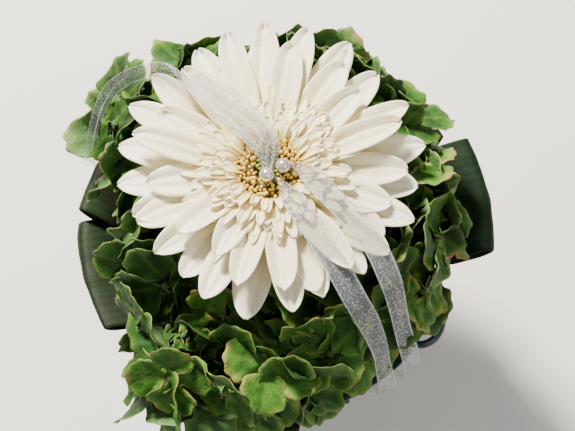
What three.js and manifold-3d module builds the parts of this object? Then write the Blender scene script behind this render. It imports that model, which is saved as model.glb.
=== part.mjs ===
// A hand-tied posy that stands on its own cut stems: one white gerbera held in a dome of five green
// hydrangea heads, over a collar of eight folded aspidistra leaves. An organza ribbon is pinned to the
// gerbera's eye with two pearl-headed pins and runs down to the tie.
// Millimetres, +Z up, the posy's axis vertical through the gerbera's stem, the cut ends at the bottom.

import * as THREE from "three";
import { mergeVertices } from "three/addons/utils/BufferGeometryUtils.js";
import Module from "manifold-3d";

const wasm = await Module();
wasm.setup();

// ---------------------------------------------------------------- driving dimensions

const TIE_HEIGHT = 75; // middle of the binding above the cut ends
const FACE_HEIGHT = 200; // where the gerbera's disc sits on its petals
const GAP = 0.35; // clearance between pieces that touch

const GERBERA = { radius: 55, receptacle: 7.5, disc: 11.5, stem: 3 };
const WHORLS = [
  // from the lowest ring of petals up: count, tip radius, petal width, tip height, ring height, turn
  { name: "gerbera_outer_petals", count: 22, tip: 55, width: 12.5, rise: 2.5, ring: -9.5, turn: 0 },
  { name: "gerbera_middle_petals", count: 20, tip: 44, width: 10, rise: 5, ring: -6.8, turn: 8 },
  { name: "gerbera_inner_florets", count: 24, tip: 25, width: 4.2, rise: 6, ring: -4.1, turn: 3 },
];
const PETAL_THICKNESS = 0.8;
const RING_THICKNESS = 1.9;

const HYDRANGEA = { firstAzimuth: -90, height: 158, stem: 3 };
const HEAD_REACHES = [48, 47, 44, 42, 41]; // the posy is fuller at the front and on the right
const HEAD_RADII = [27, 33, 25]; // outward, sideways, up
const FLORETS_PER_HEAD = 9;
const FLORET = { radius: 18, thickness: 2.2 };

// Each collar leaf: where it points, and how far out it folds back.
const LEAVES = [[10, 92], [47, 86], [84, 84], [120, 84], [156, 80], [194, 80], [261, 85], [300, 76]];
const LEAF = { width: 41, thickness: 1, inner: 28, low: 108, slope: 0.36, fold: 3, tuck: 55 };
const STALK_RADIUS = 2;

const RIBBON = { width: 10, thickness: 0.5 };
// Each strand of ribbon, from its pin to the tie: radius, azimuth, height over the gerbera's face.
const STRANDS = {
  ribbon_back_left: [
    [2, 100, 4.6], [7, 100, 7], [15, 113, 7.4], [28, 124, 6.6], [44, 130, 4], [56, 134, 0], [64, 141, -4],
    [69, 148, -9], [71, 155, -17], [72, 161, -28], [75, 161, -43], [81, 158, -58], [84, 155, -72], [77, 154, -85],
    [60, 154, -98], [40, 154, -109], [27, 154, -116], [21.6, 154, -121],
  ],
  ribbon_front_left: [
    [5, -60, 4.2], [13, -56, 5.4], [28, -57, 6], [44, -57, 3.2], [57, -57, -4], [65, -56, -15], [72, -55.5, -30],
    [76, -55.5, -45], [79.5, -55.5, -59], [81, -55.5, -72], [75, -56, -86], [58, -60, -100], [40, -64, -110],
    [27, -68, -116], [21.6, -70, -121],
  ],
  ribbon_front_right: [
    [8.4, -2, 5.8], [14, -14, 7.4], [27, -30, 6.6], [45, -37, 3.4], [58, -42.5, -4], [66, -45.5, -14],
    [73, -47, -29], [77.5, -47, -45], [80, -47, -59], [81, -47, -72], [75, -46.5, -86], [58, -43, -100],
    [40, -38, -110], [27, -35, -116], [21.6, -34, -121],
  ],
};
const PINS = [
  { name: "front", x: -0.7, y: -4.6 },
  { name: "back", x: 5.1, y: -1.2 },
];
const PEARL_RADIUS = 2.75;
const PIN = { radius: 0.35, length: 20 };

const SPIRAL = {
  hydrangea: { waist: 7.3, slant: 0.59, top: 133.5 },
  leaf: { waist: 13.6, slant: 0.76, top: 106.5 },
};
const BINDING = { radius: 18, wall: 1.4, height: 18 };

// ---------------------------------------------------------------- colours

const finish = (color, roughness) => new THREE.MeshStandardMaterial({ color, roughness, metalness: 0 });
const WHITE_PETAL = finish(0xf4f0e6, 0.55);
const CREAM_FLORET = finish(0xf5edcf, 0.6);
const GOLD_DISC = finish(0xc9992f, 0.7);
const STEM_GREEN = finish(0x6f8f45, 0.55);
const CALYX_GREEN = finish(0x4f7a38, 0.6);
const SEPAL_GREEN = finish(0x6a9a3c, 0.6);
const WOODY_GREEN = finish(0x6d7a45, 0.7);
const LEAF_GREEN = finish(0x12301a, 0.35);
const ORGANZA = finish(0xdfe3ea, 0.4);
const PEARL = finish(0xece4d8, 0.15);
const PIN_STEEL = new THREE.MeshStandardMaterial({ color: 0xb9bcc0, roughness: 0.25, metalness: 1 });
const TWINE = finish(0xa98c5c, 0.85);

// ---------------------------------------------------------------- solids

const posy = new THREE.Group();

// A closed geometry as a solid that can be joined and cut.
function solidOf(geometry) {
  const bare = geometry.index ? geometry.toNonIndexed() : geometry.clone();
  bare.deleteAttribute("normal");
  bare.deleteAttribute("uv");
  const merged = mergeVertices(bare, 1e-3);
  return new wasm.Manifold(
    new wasm.Mesh({
      numProp: 3,
      vertProperties: merged.getAttribute("position").array,
      triVerts: new Uint32Array(merged.index.array),
    }),
  );
}

function geometryOf(solid) {
  const mesh = solid.getMesh();
  const positions = new Float32Array(mesh.numVert * 3);
  for (let i = 0; i < mesh.numVert; i++) {
    for (let k = 0; k < 3; k++) positions[3 * i + k] = mesh.vertProperties[mesh.numProp * i + k];
  }
  const geometry = new THREE.BufferGeometry();
  geometry.setAttribute("position", new THREE.BufferAttribute(positions, 3));
  geometry.setIndex(new THREE.BufferAttribute(mesh.triVerts, 1));
  geometry.computeVertexNormals();
  return geometry;
}

const joined = (solids) => solids.reduce((a, b) => a.add(b));

// The biggest of the bodies that cutting left.
function biggest(solid) {
  return solid.decompose().reduce((a, b) => (b.volume() > a.volume() ? b : a));
}

function addPiece(name, geometry, material) {
  const mesh = new THREE.Mesh(geometry, material);
  mesh.name = name;
  posy.add(mesh);
  return mesh;
}

// ---------------------------------------------------------------- shapes

const radians = THREE.MathUtils.degToRad;

// A turned shape from [radius, height] pairs, bottom to top, around the vertical axis.
function turned(profile, sides) {
  const points = profile.map(([r, z]) => new THREE.Vector2(r, z));
  return new THREE.LatheGeometry(points, sides).rotateX(Math.PI / 2);
}

// A shape drawn in plan, raised from one height to another.
function upright(shape, bottom, top) {
  return new THREE.ExtrudeGeometry(shape, { depth: top - bottom, bevelEnabled: false }).translate(0, 0, bottom);
}

// A strip that follows a curve of [distance out, height] points, width wide, in the vertical plane
// through the axis along +X.
function strip(points, width, thickness, steps) {
  const curve = new THREE.SplineCurve(points.map(([x, z]) => new THREE.Vector2(x, z)));
  const over = [];
  const under = [];
  for (let i = 0; i <= steps; i++) {
    const at = curve.getPointAt(i / steps);
    const along = curve.getTangentAt(i / steps);
    const out = new THREE.Vector2(-along.y, along.x).multiplyScalar(thickness / 2);
    over.push(at.clone().add(out));
    under.unshift(at.clone().sub(out));
  }
  const section = new THREE.Shape([...over, ...under]);
  const solid = new THREE.ExtrudeGeometry(section, { depth: width, steps: 1, bevelEnabled: false });
  return solid.translate(0, 0, -width / 2).rotateX(Math.PI / 2);
}

// A point at a radius, an azimuth and a height.
function around(r, azimuth, z) {
  return new THREE.Vector3(r * Math.cos(radians(azimuth)), r * Math.sin(radians(azimuth)), z);
}

// A flat band along a curve, its width kept across the radius it passes.
function flatBand(points, width, thickness, steps) {
  const curve = new THREE.CatmullRomCurve3(points, false, "centripetal");
  const positions = [];
  const faces = [];
  for (let i = 0; i <= steps; i++) {
    const at = curve.getPointAt(i / steps);
    const along = curve.getTangentAt(i / steps);
    const across = new THREE.Vector3(-at.y, at.x, 0).normalize();
    across.addScaledVector(along, -across.dot(along)).setLength(width / 2);
    const out = along.clone().cross(across).setLength(thickness / 2);
    for (const [a, b] of [[1, 1], [-1, 1], [-1, -1], [1, -1]]) {
      positions.push(...at.clone().addScaledVector(across, a).addScaledVector(out, b).toArray());
    }
    if (i === steps) continue;
    for (let k = 0; k < 4; k++) {
      const [p, q] = [4 * i + k, 4 * i + ((k + 1) % 4)];
      faces.push(p, q, q + 4, p, q + 4, p + 4);
    }
  }
  const last = 4 * steps;
  faces.push(0, 2, 1, 0, 3, 2, last, last + 1, last + 2, last, last + 2, last + 3);
  const geometry = new THREE.BufferGeometry();
  geometry.setAttribute("position", new THREE.Float32BufferAttribute(positions, 3));
  geometry.setIndex(faces);
  geometry.computeVertexNormals();
  return geometry;
}

// ---------------------------------------------------------------- gerbera

const face = (z) => FACE_HEIGHT + z;

// The height of a whorl's petals above its ring, where share runs from the ring to the tip.
const petalLift = (whorl, share) => whorl.rise * Math.sin(1.9 * share) * 1.06;

function petal(whorl) {
  const start = GERBERA.receptacle + 2;
  const path = [0, 0.35, 0.7, 1].map((share) => [
    start + share * (whorl.tip - start),
    face(whorl.ring + RING_THICKNESS / 2 + petalLift(whorl, share)),
  ]);
  const outline = new THREE.Shape();
  outline.moveTo(start, -whorl.width * 0.22);
  outline.quadraticCurveTo(start + 0.5 * (whorl.tip - start), -whorl.width * 0.75, whorl.tip - 1, -1);
  outline.lineTo(whorl.tip - 1, 1);
  outline.quadraticCurveTo(start + 0.5 * (whorl.tip - start), whorl.width * 0.75, start, whorl.width * 0.22);
  const plan = new THREE.ExtrudeGeometry(outline, { depth: 60, bevelEnabled: false, curveSegments: 4 });
  plan.translate(0, 0, FACE_HEIGHT - 40);
  return solidOf(strip(path, whorl.width * 1.4, PETAL_THICKNESS, 4)).intersect(solidOf(plan));
}

function petalRing(whorl) {
  const inner = GERBERA.receptacle + GAP;
  const low = face(whorl.ring);
  const high = low + RING_THICKNESS;
  const outer = GERBERA.receptacle + 3.5;
  const ring = turned([[inner, low], [outer, low], [outer, high], [inner, high], [inner, low]], 22);
  const one = petal(whorl);
  const petals = [];
  for (let i = 0; i < whorl.count; i++) {
    petals.push(one.rotate([0, 0, whorl.turn + (360 * i) / whorl.count]));
  }
  return biggest(joined([solidOf(ring), ...petals]));
}

for (const whorl of WHORLS) {
  const material = whorl.name === "gerbera_inner_florets" ? CREAM_FLORET : WHITE_PETAL;
  addPiece(whorl.name, geometryOf(petalRing(whorl)), material);
}

const RECEPTACLE_DEPTH = 20;

// The eye of small florets and the fleshy receptacle under it, bored for the two pins.
const pinHoles = PINS.map(({ x, y }) => {
  const hole = new THREE.CylinderGeometry(PIN.radius + GAP, PIN.radius + GAP, PIN.length + 5, 8);
  return solidOf(hole.rotateX(Math.PI / 2).translate(x, y, face(6.5 - PIN.length / 2)));
});
const eye = turned(
  [
    [0, face(-RECEPTACLE_DEPTH)],
    [GERBERA.receptacle, face(-RECEPTACLE_DEPTH)],
    [GERBERA.receptacle, face(-1.8)],
    [GERBERA.disc, face(-0.8)],
    [GERBERA.disc - 0.6, face(1.6)],
    [7.5, face(2.6)],
    [4, face(1.4)],
    [0, face(1.8)],
  ],
  24,
);
addPiece("gerbera_disc", geometryOf(pinHoles.reduce((a, b) => a.subtract(b), solidOf(eye))), GOLD_DISC);

// The cup of green bracts that holds the receptacle.
const cupTop = face(-9.5 - GAP);
const cupFloor = face(-RECEPTACLE_DEPTH - GAP);
const calyx = turned(
  [
    [0, cupFloor - 5],
    [3.6, cupFloor - 5],
    [7.5, cupFloor],
    [10.5, cupTop - 4],
    [10.2, cupTop],
    [GERBERA.receptacle + GAP, cupTop],
    [GERBERA.receptacle + GAP, cupFloor],
    [0, cupFloor],
  ],
  20,
);
addPiece("gerbera_calyx", calyx, CALYX_GREEN);

const stemTop = cupFloor - 5 - GAP;
const scape = new THREE.CylinderGeometry(GERBERA.stem, GERBERA.stem, stemTop, 12);
addPiece("gerbera_stem", scape.rotateX(Math.PI / 2).translate(0, 0, stemTop / 2), STEM_GREEN);

// ---------------------------------------------------------------- spiral of stems

// A straight stem that crosses the tie at an angle, cut level at the bottom and at its top. azimuth is
// where its top points.
function spiralStem({ waist, slant, top }, radius, azimuth) {
  const turn = Math.atan2((top - TIE_HEIGHT) * slant, waist);
  const crossing = radians(azimuth) - turn;
  const out = new THREE.Vector3(Math.cos(crossing), Math.sin(crossing), 0);
  const side = new THREE.Vector3(-out.y, out.x, 0);
  const at = (z) => out.clone().multiplyScalar(waist).addScaledVector(side, (z - TIE_HEIGHT) * slant).setZ(z);
  const line = new THREE.LineCurve3(at(-10), at(top + 10));
  const section = new THREE.Shape().absarc(0, 0, radius, 0, 2 * Math.PI);
  const rod = new THREE.ExtrudeGeometry(section, { steps: 1, curveSegments: 10, extrudePath: line });
  const room = new THREE.BoxGeometry(300, 300, top).translate(0, 0, top / 2);
  return geometryOf(solidOf(rod).intersect(solidOf(room)));
}

// ---------------------------------------------------------------- ribbon

const RIBBON_STEPS = 32;

function ribbonStrand(path, swell) {
  const points = path.map(([r, azimuth, z]) => around(r, azimuth, face(z)));
  return solidOf(flatBand(points, RIBBON.width + 2 * swell, RIBBON.thickness + 2 * swell, RIBBON_STEPS));
}

const pinRoom = PINS.map(({ x, y }) => {
  const room = new THREE.CylinderGeometry(PEARL_RADIUS + GAP, PEARL_RADIUS + GAP, 20, 10);
  return solidOf(room.rotateX(Math.PI / 2).translate(x, y, face(6)));
});
for (const [name, path] of Object.entries(STRANDS)) {
  const cut = pinRoom.reduce((a, b) => a.subtract(b), ribbonStrand(path, 0));
  addPiece(name, geometryOf(biggest(cut)), ORGANZA);
}

// ---------------------------------------------------------------- bent leaf stalk

// A spare leaf stalk, bent round over the collar between two leaves and tucked in under the hydrangea:
// radius, azimuth and height of the points it passes.
const BENT_STALK = [
  [44, -20, 102], [58, -20, 108], [69, -21.5, 116], [76, -25, 123.5], [79.5, -30, 128], [80, -35, 129.5],
  [77, -39, 129], [70, -41, 127.5], [62, -42, 125],
];

function bentStalk(radius) {
  const line = new THREE.CatmullRomCurve3(BENT_STALK.map(([r, azimuth, z]) => around(r, azimuth, z)));
  const section = new THREE.Shape().absarc(0, 0, radius, 0, 2 * Math.PI);
  return new THREE.ExtrudeGeometry(section, { steps: 26, curveSegments: 4, extrudePath: line });
}
addPiece("bent_leaf_stalk", bentStalk(1.7), LEAF_GREEN);

// ---------------------------------------------------------------- hydrangea

// The room that the gerbera takes, which the hydrangea heads leave free.
const gerberaRoom = solidOf(
  turned(
    [
      [0, 100],
      [11.5, 100],
      [11.5, face(-14)],
      [GERBERA.receptacle + 8, face(-10.5)],
      [GERBERA.radius + 2, face(-9)],
      [GERBERA.radius + 2, face(30)],
      [0, face(30)],
    ],
    24,
  ),
);
// The room under the dome that the collar takes.
const leafTop = (r) => LEAF.low + (r - LEAF.inner) * LEAF.slope;
const collarRoom = solidOf(
  turned([[0, 60], [130, 60], [130, leafTop(130) + 2.5], [LEAF.inner, leafTop(LEAF.inner) + 2.5], [0, 100]], 40),
);
const ribbonRoom = Object.values(STRANDS).map((path) => ribbonStrand(path, GAP));
const stalkRoom = solidOf(bentStalk(1.7 + GAP));

// Four rounded lobes, as a hydrangea floret has.
function floretOutline() {
  const points = [];
  for (let i = 0; i < 24; i++) {
    const angle = (2 * Math.PI * i) / 24;
    const r = FLORET.radius * (0.6 + 0.4 * Math.abs(Math.cos(2 * angle)) ** 0.7);
    points.push(new THREE.Vector2(r * Math.cos(angle), r * Math.sin(angle)));
  }
  return new THREE.Shape(points);
}

const GOLDEN_ANGLE = 137.508;
const floretPlate = upright(floretOutline(), -FLORET.thickness / 2, FLORET.thickness / 2);

function hydrangeaHead() {
  const [outward, sideways, up] = HEAD_RADII;
  const core = new THREE.SphereGeometry(1, 14, 9).scale(outward, sideways, up);
  const parts = [solidOf(core)];
  const lean = new THREE.Quaternion().setFromAxisAngle(new THREE.Vector3(0, 1, 0), radians(48));
  for (let k = 0; k < FLORETS_PER_HEAD; k++) {
    const polar = radians(78) * Math.sqrt((k + 0.4) / FLORETS_PER_HEAD);
    const around = radians(GOLDEN_ANGLE * k);
    const direction = new THREE.Vector3().setFromSphericalCoords(1, polar, around);
    direction.set(direction.z, direction.x, direction.y).applyQuaternion(lean);
    const place = direction.clone().multiply(new THREE.Vector3(outward, sideways, up));
    const facing = new THREE.Quaternion().setFromUnitVectors(new THREE.Vector3(0, 0, 1), direction);
    const plate = floretPlate.clone().rotateZ(radians(40 * k)).applyQuaternion(facing);
    parts.push(solidOf(plate.translate(place.x, place.y, place.z)));
  }
  return joined(parts);
}

// The slice of the dome that one head may fill.
function slice() {
  const half = radians(180 / HEAD_REACHES.length);
  const far = 130;
  const shape = new THREE.Shape([
    new THREE.Vector2(GAP / Math.sin(half), 0),
    new THREE.Vector2(far, -(far - 1) * Math.tan(half) + GAP),
    new THREE.Vector2(far, (far - 1) * Math.tan(half) - GAP),
  ]);
  return solidOf(upright(shape, 90, 230));
}

const roundHead = hydrangeaHead();
HEAD_REACHES.forEach((reach, i) => {
  const azimuth = HYDRANGEA.firstAzimuth + (360 * i) / HEAD_REACHES.length;
  const placed = roundHead.translate([reach, 0, HYDRANGEA.height]).intersect(slice());
  const headShape = placed.subtract(gerberaRoom).subtract(collarRoom);
  const whole = headShape.rotate([0, 0, azimuth]);
  const head = [...ribbonRoom, stalkRoom].reduce((a, b) => a.subtract(b), whole);
  addPiece(`hydrangea_head_${i + 1}`, geometryOf(biggest(head)), SEPAL_GREEN);
  addPiece(`hydrangea_stem_${i + 1}`, spiralStem(SPIRAL.hydrangea, HYDRANGEA.stem, azimuth), WOODY_GREEN);
});

// ---------------------------------------------------------------- aspidistra collar

// One blade, doubled back under itself at the collar's edge, lying along +X.
function foldedBlade(outer) {
  const { inner, low, slope, fold, tuck } = LEAF;
  const upper = (r) => low + (r - inner) * slope;
  const lower = (r) => upper(r) - 2 * fold - 1.5;
  const path = [
    [inner, low], [inner + 20, upper(inner + 20)], [outer - 22, upper(outer - 22)], [outer - 6, upper(outer - 6)],
    [outer - 0.8, upper(outer) - fold], [outer - 6, lower(outer - 6)], [outer - 22, lower(outer - 22)],
    [tuck, lower(tuck)],
  ];
  const plan = new THREE.Shape();
  plan.moveTo(inner - 1, -4);
  plan.quadraticCurveTo(outer - 36, -LEAF.width * 0.42, outer - 14, -LEAF.width / 2);
  plan.lineTo(outer + 4, -LEAF.width * 0.44);
  plan.lineTo(outer + 4, LEAF.width * 0.44);
  plan.lineTo(outer - 14, LEAF.width / 2);
  plan.quadraticCurveTo(outer - 36, LEAF.width * 0.42, inner - 1, 4);
  const outline = new THREE.ExtrudeGeometry(plan, { depth: 80, bevelEnabled: false, curveSegments: 4 });
  const sheet = strip(path, LEAF.width * 1.2, LEAF.thickness, 22);
  return solidOf(sheet).intersect(solidOf(outline.translate(0, 0, 85)));
}

LEAVES.forEach(([azimuth, outer], i) => {
  const blade = foldedBlade(outer).rotate([0, 0, azimuth]);
  addPiece(`aspidistra_leaf_${i + 1}`, geometryOf(biggest(blade)), LEAF_GREEN);
  addPiece(`aspidistra_stalk_${i + 1}`, spiralStem(SPIRAL.leaf, STALK_RADIUS, azimuth), STEM_GREEN);
});

// ---------------------------------------------------------------- tie, pins and pearls

// A band around the axis, from one height to another.
function band(radius, wall, low, high) {
  const outer = radius + wall;
  const bulge = (low + high) / 2;
  return turned(
    [[radius, low], [outer - 0.3, low], [outer, bulge], [outer - 0.3, high], [radius, high], [radius, low]],
    28,
  );
}

const bindingLow = TIE_HEIGHT - BINDING.height / 2;
addPiece("binding_twine", band(BINDING.radius, BINDING.wall, bindingLow, bindingLow + BINDING.height), TWINE);
const wrapRadius = BINDING.radius + BINDING.wall + GAP;
addPiece("ribbon_wrap", band(wrapRadius, 0.9, TIE_HEIGHT - 5, TIE_HEIGHT + 5), ORGANZA);

const knot = new THREE.SphereGeometry(1, 12, 8).scale(3.2, 5, 4).translate(wrapRadius + 0.9 + GAP + 3.2, 0, 0);
knot.rotateZ(radians(-52)).translate(0, 0, TIE_HEIGHT);
const knotted = ribbonRoom.reduce((a, b) => a.subtract(b), solidOf(knot));
addPiece("ribbon_knot", geometryOf(biggest(knotted)), ORGANZA);

for (const { name, x, y } of PINS) {
  const pearlHeight = face(5.2 + PEARL_RADIUS);
  const pinTop = pearlHeight - 0.6;
  const shaft = new THREE.CylinderGeometry(PIN.radius, PIN.radius, PIN.length, 8);
  addPiece(`pin_${name}`, shaft.rotateX(Math.PI / 2).translate(x, y, pinTop - PIN.length / 2), PIN_STEEL);
  const socket = new THREE.CylinderGeometry(PIN.radius + 0.3, PIN.radius + 0.3, 4, 8).rotateX(Math.PI / 2);
  const bead = new THREE.SphereGeometry(PEARL_RADIUS, 14, 10).translate(x, y, pearlHeight);
  const bored = solidOf(bead).subtract(solidOf(socket.translate(x, y, pinTop + GAP - 2)));
  addPiece(`pearl_${name}`, geometryOf(bored), PEARL);
}

// ---------------------------------------------------------------- the part's frame

// The origin is under the middle of the posy's outline, on the surface that the cut ends stand on.
const outline = new THREE.Box3().setFromObject(posy);
const middle = outline.getCenter(new THREE.Vector3());
posy.position.set(-middle.x, -middle.y, -outline.min.z);
const part = new THREE.Group().add(posy);

export default part;
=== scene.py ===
# A hand-tied posy standing on its cut stems: one white gerbera in a dome of green hydrangea, over a
# collar of folded aspidistra leaves, with an organza ribbon pinned to the gerbera's eye.

import math
import random

import bpy
import numpy as np
from mathutils import Matrix, Vector


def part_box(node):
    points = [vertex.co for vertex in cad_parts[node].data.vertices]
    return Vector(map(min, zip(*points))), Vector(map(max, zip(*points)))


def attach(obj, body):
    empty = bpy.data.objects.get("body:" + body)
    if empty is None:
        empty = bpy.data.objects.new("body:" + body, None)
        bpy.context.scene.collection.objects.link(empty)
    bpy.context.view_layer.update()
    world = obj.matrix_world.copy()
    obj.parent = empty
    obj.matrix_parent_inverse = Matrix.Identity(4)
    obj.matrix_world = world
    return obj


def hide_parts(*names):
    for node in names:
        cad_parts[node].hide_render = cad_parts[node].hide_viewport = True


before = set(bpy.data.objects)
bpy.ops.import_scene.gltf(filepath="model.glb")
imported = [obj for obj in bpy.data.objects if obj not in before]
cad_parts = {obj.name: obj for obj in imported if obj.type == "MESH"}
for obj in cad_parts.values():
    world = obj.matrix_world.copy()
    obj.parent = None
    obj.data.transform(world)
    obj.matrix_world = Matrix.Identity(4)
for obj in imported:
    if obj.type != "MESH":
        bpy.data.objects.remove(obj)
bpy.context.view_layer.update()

MM = 0.001
scene = bpy.context.scene

# ---------------------------------------------------------------- camera, light and floor
# A viewer stands in front of the table and looks down on the posy, so that the gerbera is seen almost
# face on and the near side of the dome shows below it. A window high up behind it, a little to the left,
# throws its shadow forward on the table.

disc_low, disc_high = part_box("gerbera_disc")
AXIS_X = (disc_low[0] + disc_high[0]) / 2
AXIS_Y = (disc_low[1] + disc_high[1]) / 2
FACE = disc_low[2] + 20 * MM  # the plane that the gerbera's inner petals spread in

ELEVATION = math.radians(72)
DISTANCE = 0.5
VIEW_WIDTH = 0.208  # metres across, at the gerbera's face
AIM_RIGHT, AIM_DOWN = 6.7 * MM, 16.5 * MM
back = Vector((0, -math.cos(ELEVATION), math.sin(ELEVATION)))
up = Vector((0, math.sin(ELEVATION), math.cos(ELEVATION)))
aim = Vector((AXIS_X + AIM_RIGHT, AXIS_Y, FACE)) - up * AIM_DOWN

camera = bpy.data.objects.new("camera", bpy.data.cameras.new("camera"))
scene.collection.objects.link(camera)
scene.camera = camera
camera.data.sensor_width = 36
camera.data.lens = camera.data.sensor_width * DISTANCE / VIEW_WIDTH
camera.data.clip_start = 0.01
camera.location = aim + back * DISTANCE
camera.rotation_euler = (math.pi / 2 - ELEVATION, 0, 0)


def linear(hex_colour):
    """An sRGB colour as the linear numbers that a shader takes."""
    channels = [int(hex_colour[i:i + 2], 16) / 255 for i in (1, 3, 5)]
    return (*[c / 12.92 if c <= 0.04045 else ((c + 0.055) / 1.055) ** 2.4 for c in channels], 1.0)


def feed(tree, value, socket):
    """Gives an input its constant, or links it to a socket or to a node's first output."""
    if isinstance(value, bpy.types.Node):
        value = value.outputs[0]
    if isinstance(value, bpy.types.NodeSocket):
        tree.links.new(value, socket)
    else:
        socket.default_value = value


def add(tree, kind, sockets=(), stops=(), **settings):
    """One node, with its inputs by name, number or order, its settings and a colour ramp's stops."""
    node = tree.nodes.new(kind)
    for name, value in settings.items():
        setattr(node, name, value)
    for key, value in sockets.items() if isinstance(sockets, dict) else enumerate(sockets):
        feed(tree, value, node.inputs[key])
    while stops and len(node.color_ramp.elements) < len(stops):
        node.color_ramp.elements.new(0.5)
    for place, (position, colour) in enumerate(stops):
        node.color_ramp.elements[place].position = position
        node.color_ramp.elements[place].color = linear(colour)
    return node


def new_material(name, **finish):
    """A material with one Principled shader, whose constant values are set on its own sockets."""
    material = bpy.data.materials.new(name)
    material.use_nodes = True
    shader = material.node_tree.nodes["Principled BSDF"]
    for socket, value in finish.items():
        shader.inputs[socket.replace("_", " ")].default_value = value
    return material, material.node_tree, shader


def lamp(name, place, size, power, colour):
    """A square soft box that faces the middle of the posy."""
    light = bpy.data.lights.new(name, "AREA")
    light.size = size
    light.energy = power
    light.color = linear(colour)[:3]
    holder = bpy.data.objects.new(name, light)
    holder.location = place
    middle = Vector((0, 0, 0.14))
    holder.rotation_euler = (middle - Vector(place)).to_track_quat("-Z", "Y").to_euler()
    scene.collection.objects.link(holder)


lamp("window", (-0.35, 0.62, 1.0), 0.2, 50, "#fff7e8")
lamp("room", (0.65, -0.7, 0.9), 0.9, 5, "#fff3e2")
world = bpy.data.worlds.new("studio")
scene.world = world
world.use_nodes = True
world.node_tree.nodes["Background"].inputs["Color"].default_value = linear("#eef0f4")
world.node_tree.nodes["Background"].inputs["Strength"].default_value = 0.42

# Plain pale table top: smooth matt paint.
tabletop = new_material("matt white paint", Roughness=0.75, Base_Color=linear("#e9e8e6"))[0]
floor_mesh = bpy.data.meshes.new("table_top")
floor_mesh.from_pydata([(-2, -2, 0), (2, -2, 0), (2, 2, 0), (-2, 2, 0)], [], [(0, 1, 2, 3)])
floor_mesh.materials.append(tabletop)
floor = bpy.data.objects.new("table_top", floor_mesh)
scene.collection.objects.link(floor)

# ---------------------------------------------------------------- gerbera petals
# Ray florets: long white straps with grooves along them, in two full rings, then a dense frill of short
# creamy ones round the eye. Each grows from the rim of the receptacle, and no two lie quite alike.

PETAL_THICKNESS = 0.32  # millimetres, like every size below that isn't given as a share or times MM


def settle(value):
    """Eases from 0 to 1, flat at both ends."""
    share = np.clip(value, 0, 1)
    return share * share * (3 - 2 * share)


def blade_mesh(name, points, thickness, **marks):
    """A closed thin blade from a grid of points in millimetres. marks are numbers kept at each point."""
    along = np.gradient(points, axis=0)
    across = np.gradient(points, axis=1)
    normal = np.cross(across, along)
    normal /= np.linalg.norm(normal, axis=2, keepdims=True) + 1e-12
    rows, cols = points.shape[:2]
    count = rows * cols
    upper = (points + normal * thickness / 2).reshape(-1, 3)
    lower = (points - normal * thickness / 2).reshape(-1, 3)
    index = np.arange(count).reshape(rows, cols)
    a, b, c, d = index[:-1, :-1], index[:-1, 1:], index[1:, 1:], index[1:, :-1]
    top = np.stack([a, b, c, d], axis=-1).reshape(-1, 4)
    edge = np.concatenate([index[0, :], index[1:, -1], index[-1, -2::-1], index[-2:0:-1, 0]])
    following = np.roll(edge, -1)
    rim = np.stack([edge, edge + count, following + count, following], axis=1)
    under = top[:, [0, 3, 2, 1]] + count  # starts at the same corner, so both sides crease alike
    faces = np.concatenate([top, under, rim])
    mesh = bpy.data.meshes.new(name)
    mesh.from_pydata((np.concatenate([upper, lower]) * MM).tolist(), [], faces.tolist())
    for mark, values in marks.items():
        both = np.tile(np.asarray(values, dtype=np.float32).reshape(-1), 2)
        mesh.attributes.new(mark, "FLOAT", "POINT").data.foreach_set("value", both)
    side = np.repeat([1.0, 0.0], count).astype(np.float32)
    mesh.attributes.new("upper", "FLOAT", "POINT").data.foreach_set("value", side)
    mesh.polygons.foreach_set("use_smooth", [True] * len(mesh.polygons))
    mesh.update()
    return mesh


def template(name, mesh):
    """An object that a tree copies, and that isn't itself in the scene."""
    return bpy.data.objects.new(name, mesh)


def petal_mesh(name, start, tip, width, rise, cup, rows=22, cols=13, neck=0.4, notch=0.4):
    """A strap-shaped petal along +X, with three crests, two grooves and a toothed tip."""
    v = 1 - (1 - np.linspace(0, 1, rows)[:, None]) ** 1.5
    u = np.linspace(-1, 1, cols)[None, :]
    half = width / 2 * (neck + (1 - neck) * settle(v / 0.55))
    half = half * np.clip(1 - np.clip((v - 0.6) / 0.402, 0, 1) ** 2.3, 0.02, 1) ** 0.55
    x = start + (tip - start) * v - notch * v ** 14 * (0.5 - 0.5 * np.cos(3 * np.pi * u))
    y = u * half
    z = rise * np.sin(1.9 * v) * 1.06 + cup * u ** 2 * settle(v * 2)
    z = z + 0.6 * width / 12 * np.cos(3 * np.pi * u) * settle(v * 3) * (1 - 0.55 * v)
    points = np.stack([x + 0 * u, y + 0 * v, z], axis=-1)
    groove = 0.5 + 0.5 * np.cos(3 * np.pi * u) + 0 * v
    return blade_mesh(name, points, PETAL_THICKNESS, along=v + 0 * u, crest=groove)


def geometry_tree(name, inputs):
    """A Geometry Nodes tree with named inputs: the tree, its input sockets and its end socket."""
    tree = bpy.data.node_groups.new(name, "GeometryNodeTree")
    tree.interface.new_socket("Geometry", in_out="INPUT", socket_type="NodeSocketGeometry")
    tree.interface.new_socket("Geometry", in_out="OUTPUT", socket_type="NodeSocketGeometry")
    for label, kind in inputs.items():
        tree.interface.new_socket(label, in_out="INPUT", socket_type="NodeSocket" + kind)
    start = tree.nodes.new("NodeGroupInput")
    end = tree.nodes.new("NodeGroupOutput")
    return tree, start.outputs, end.inputs[0]


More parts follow.
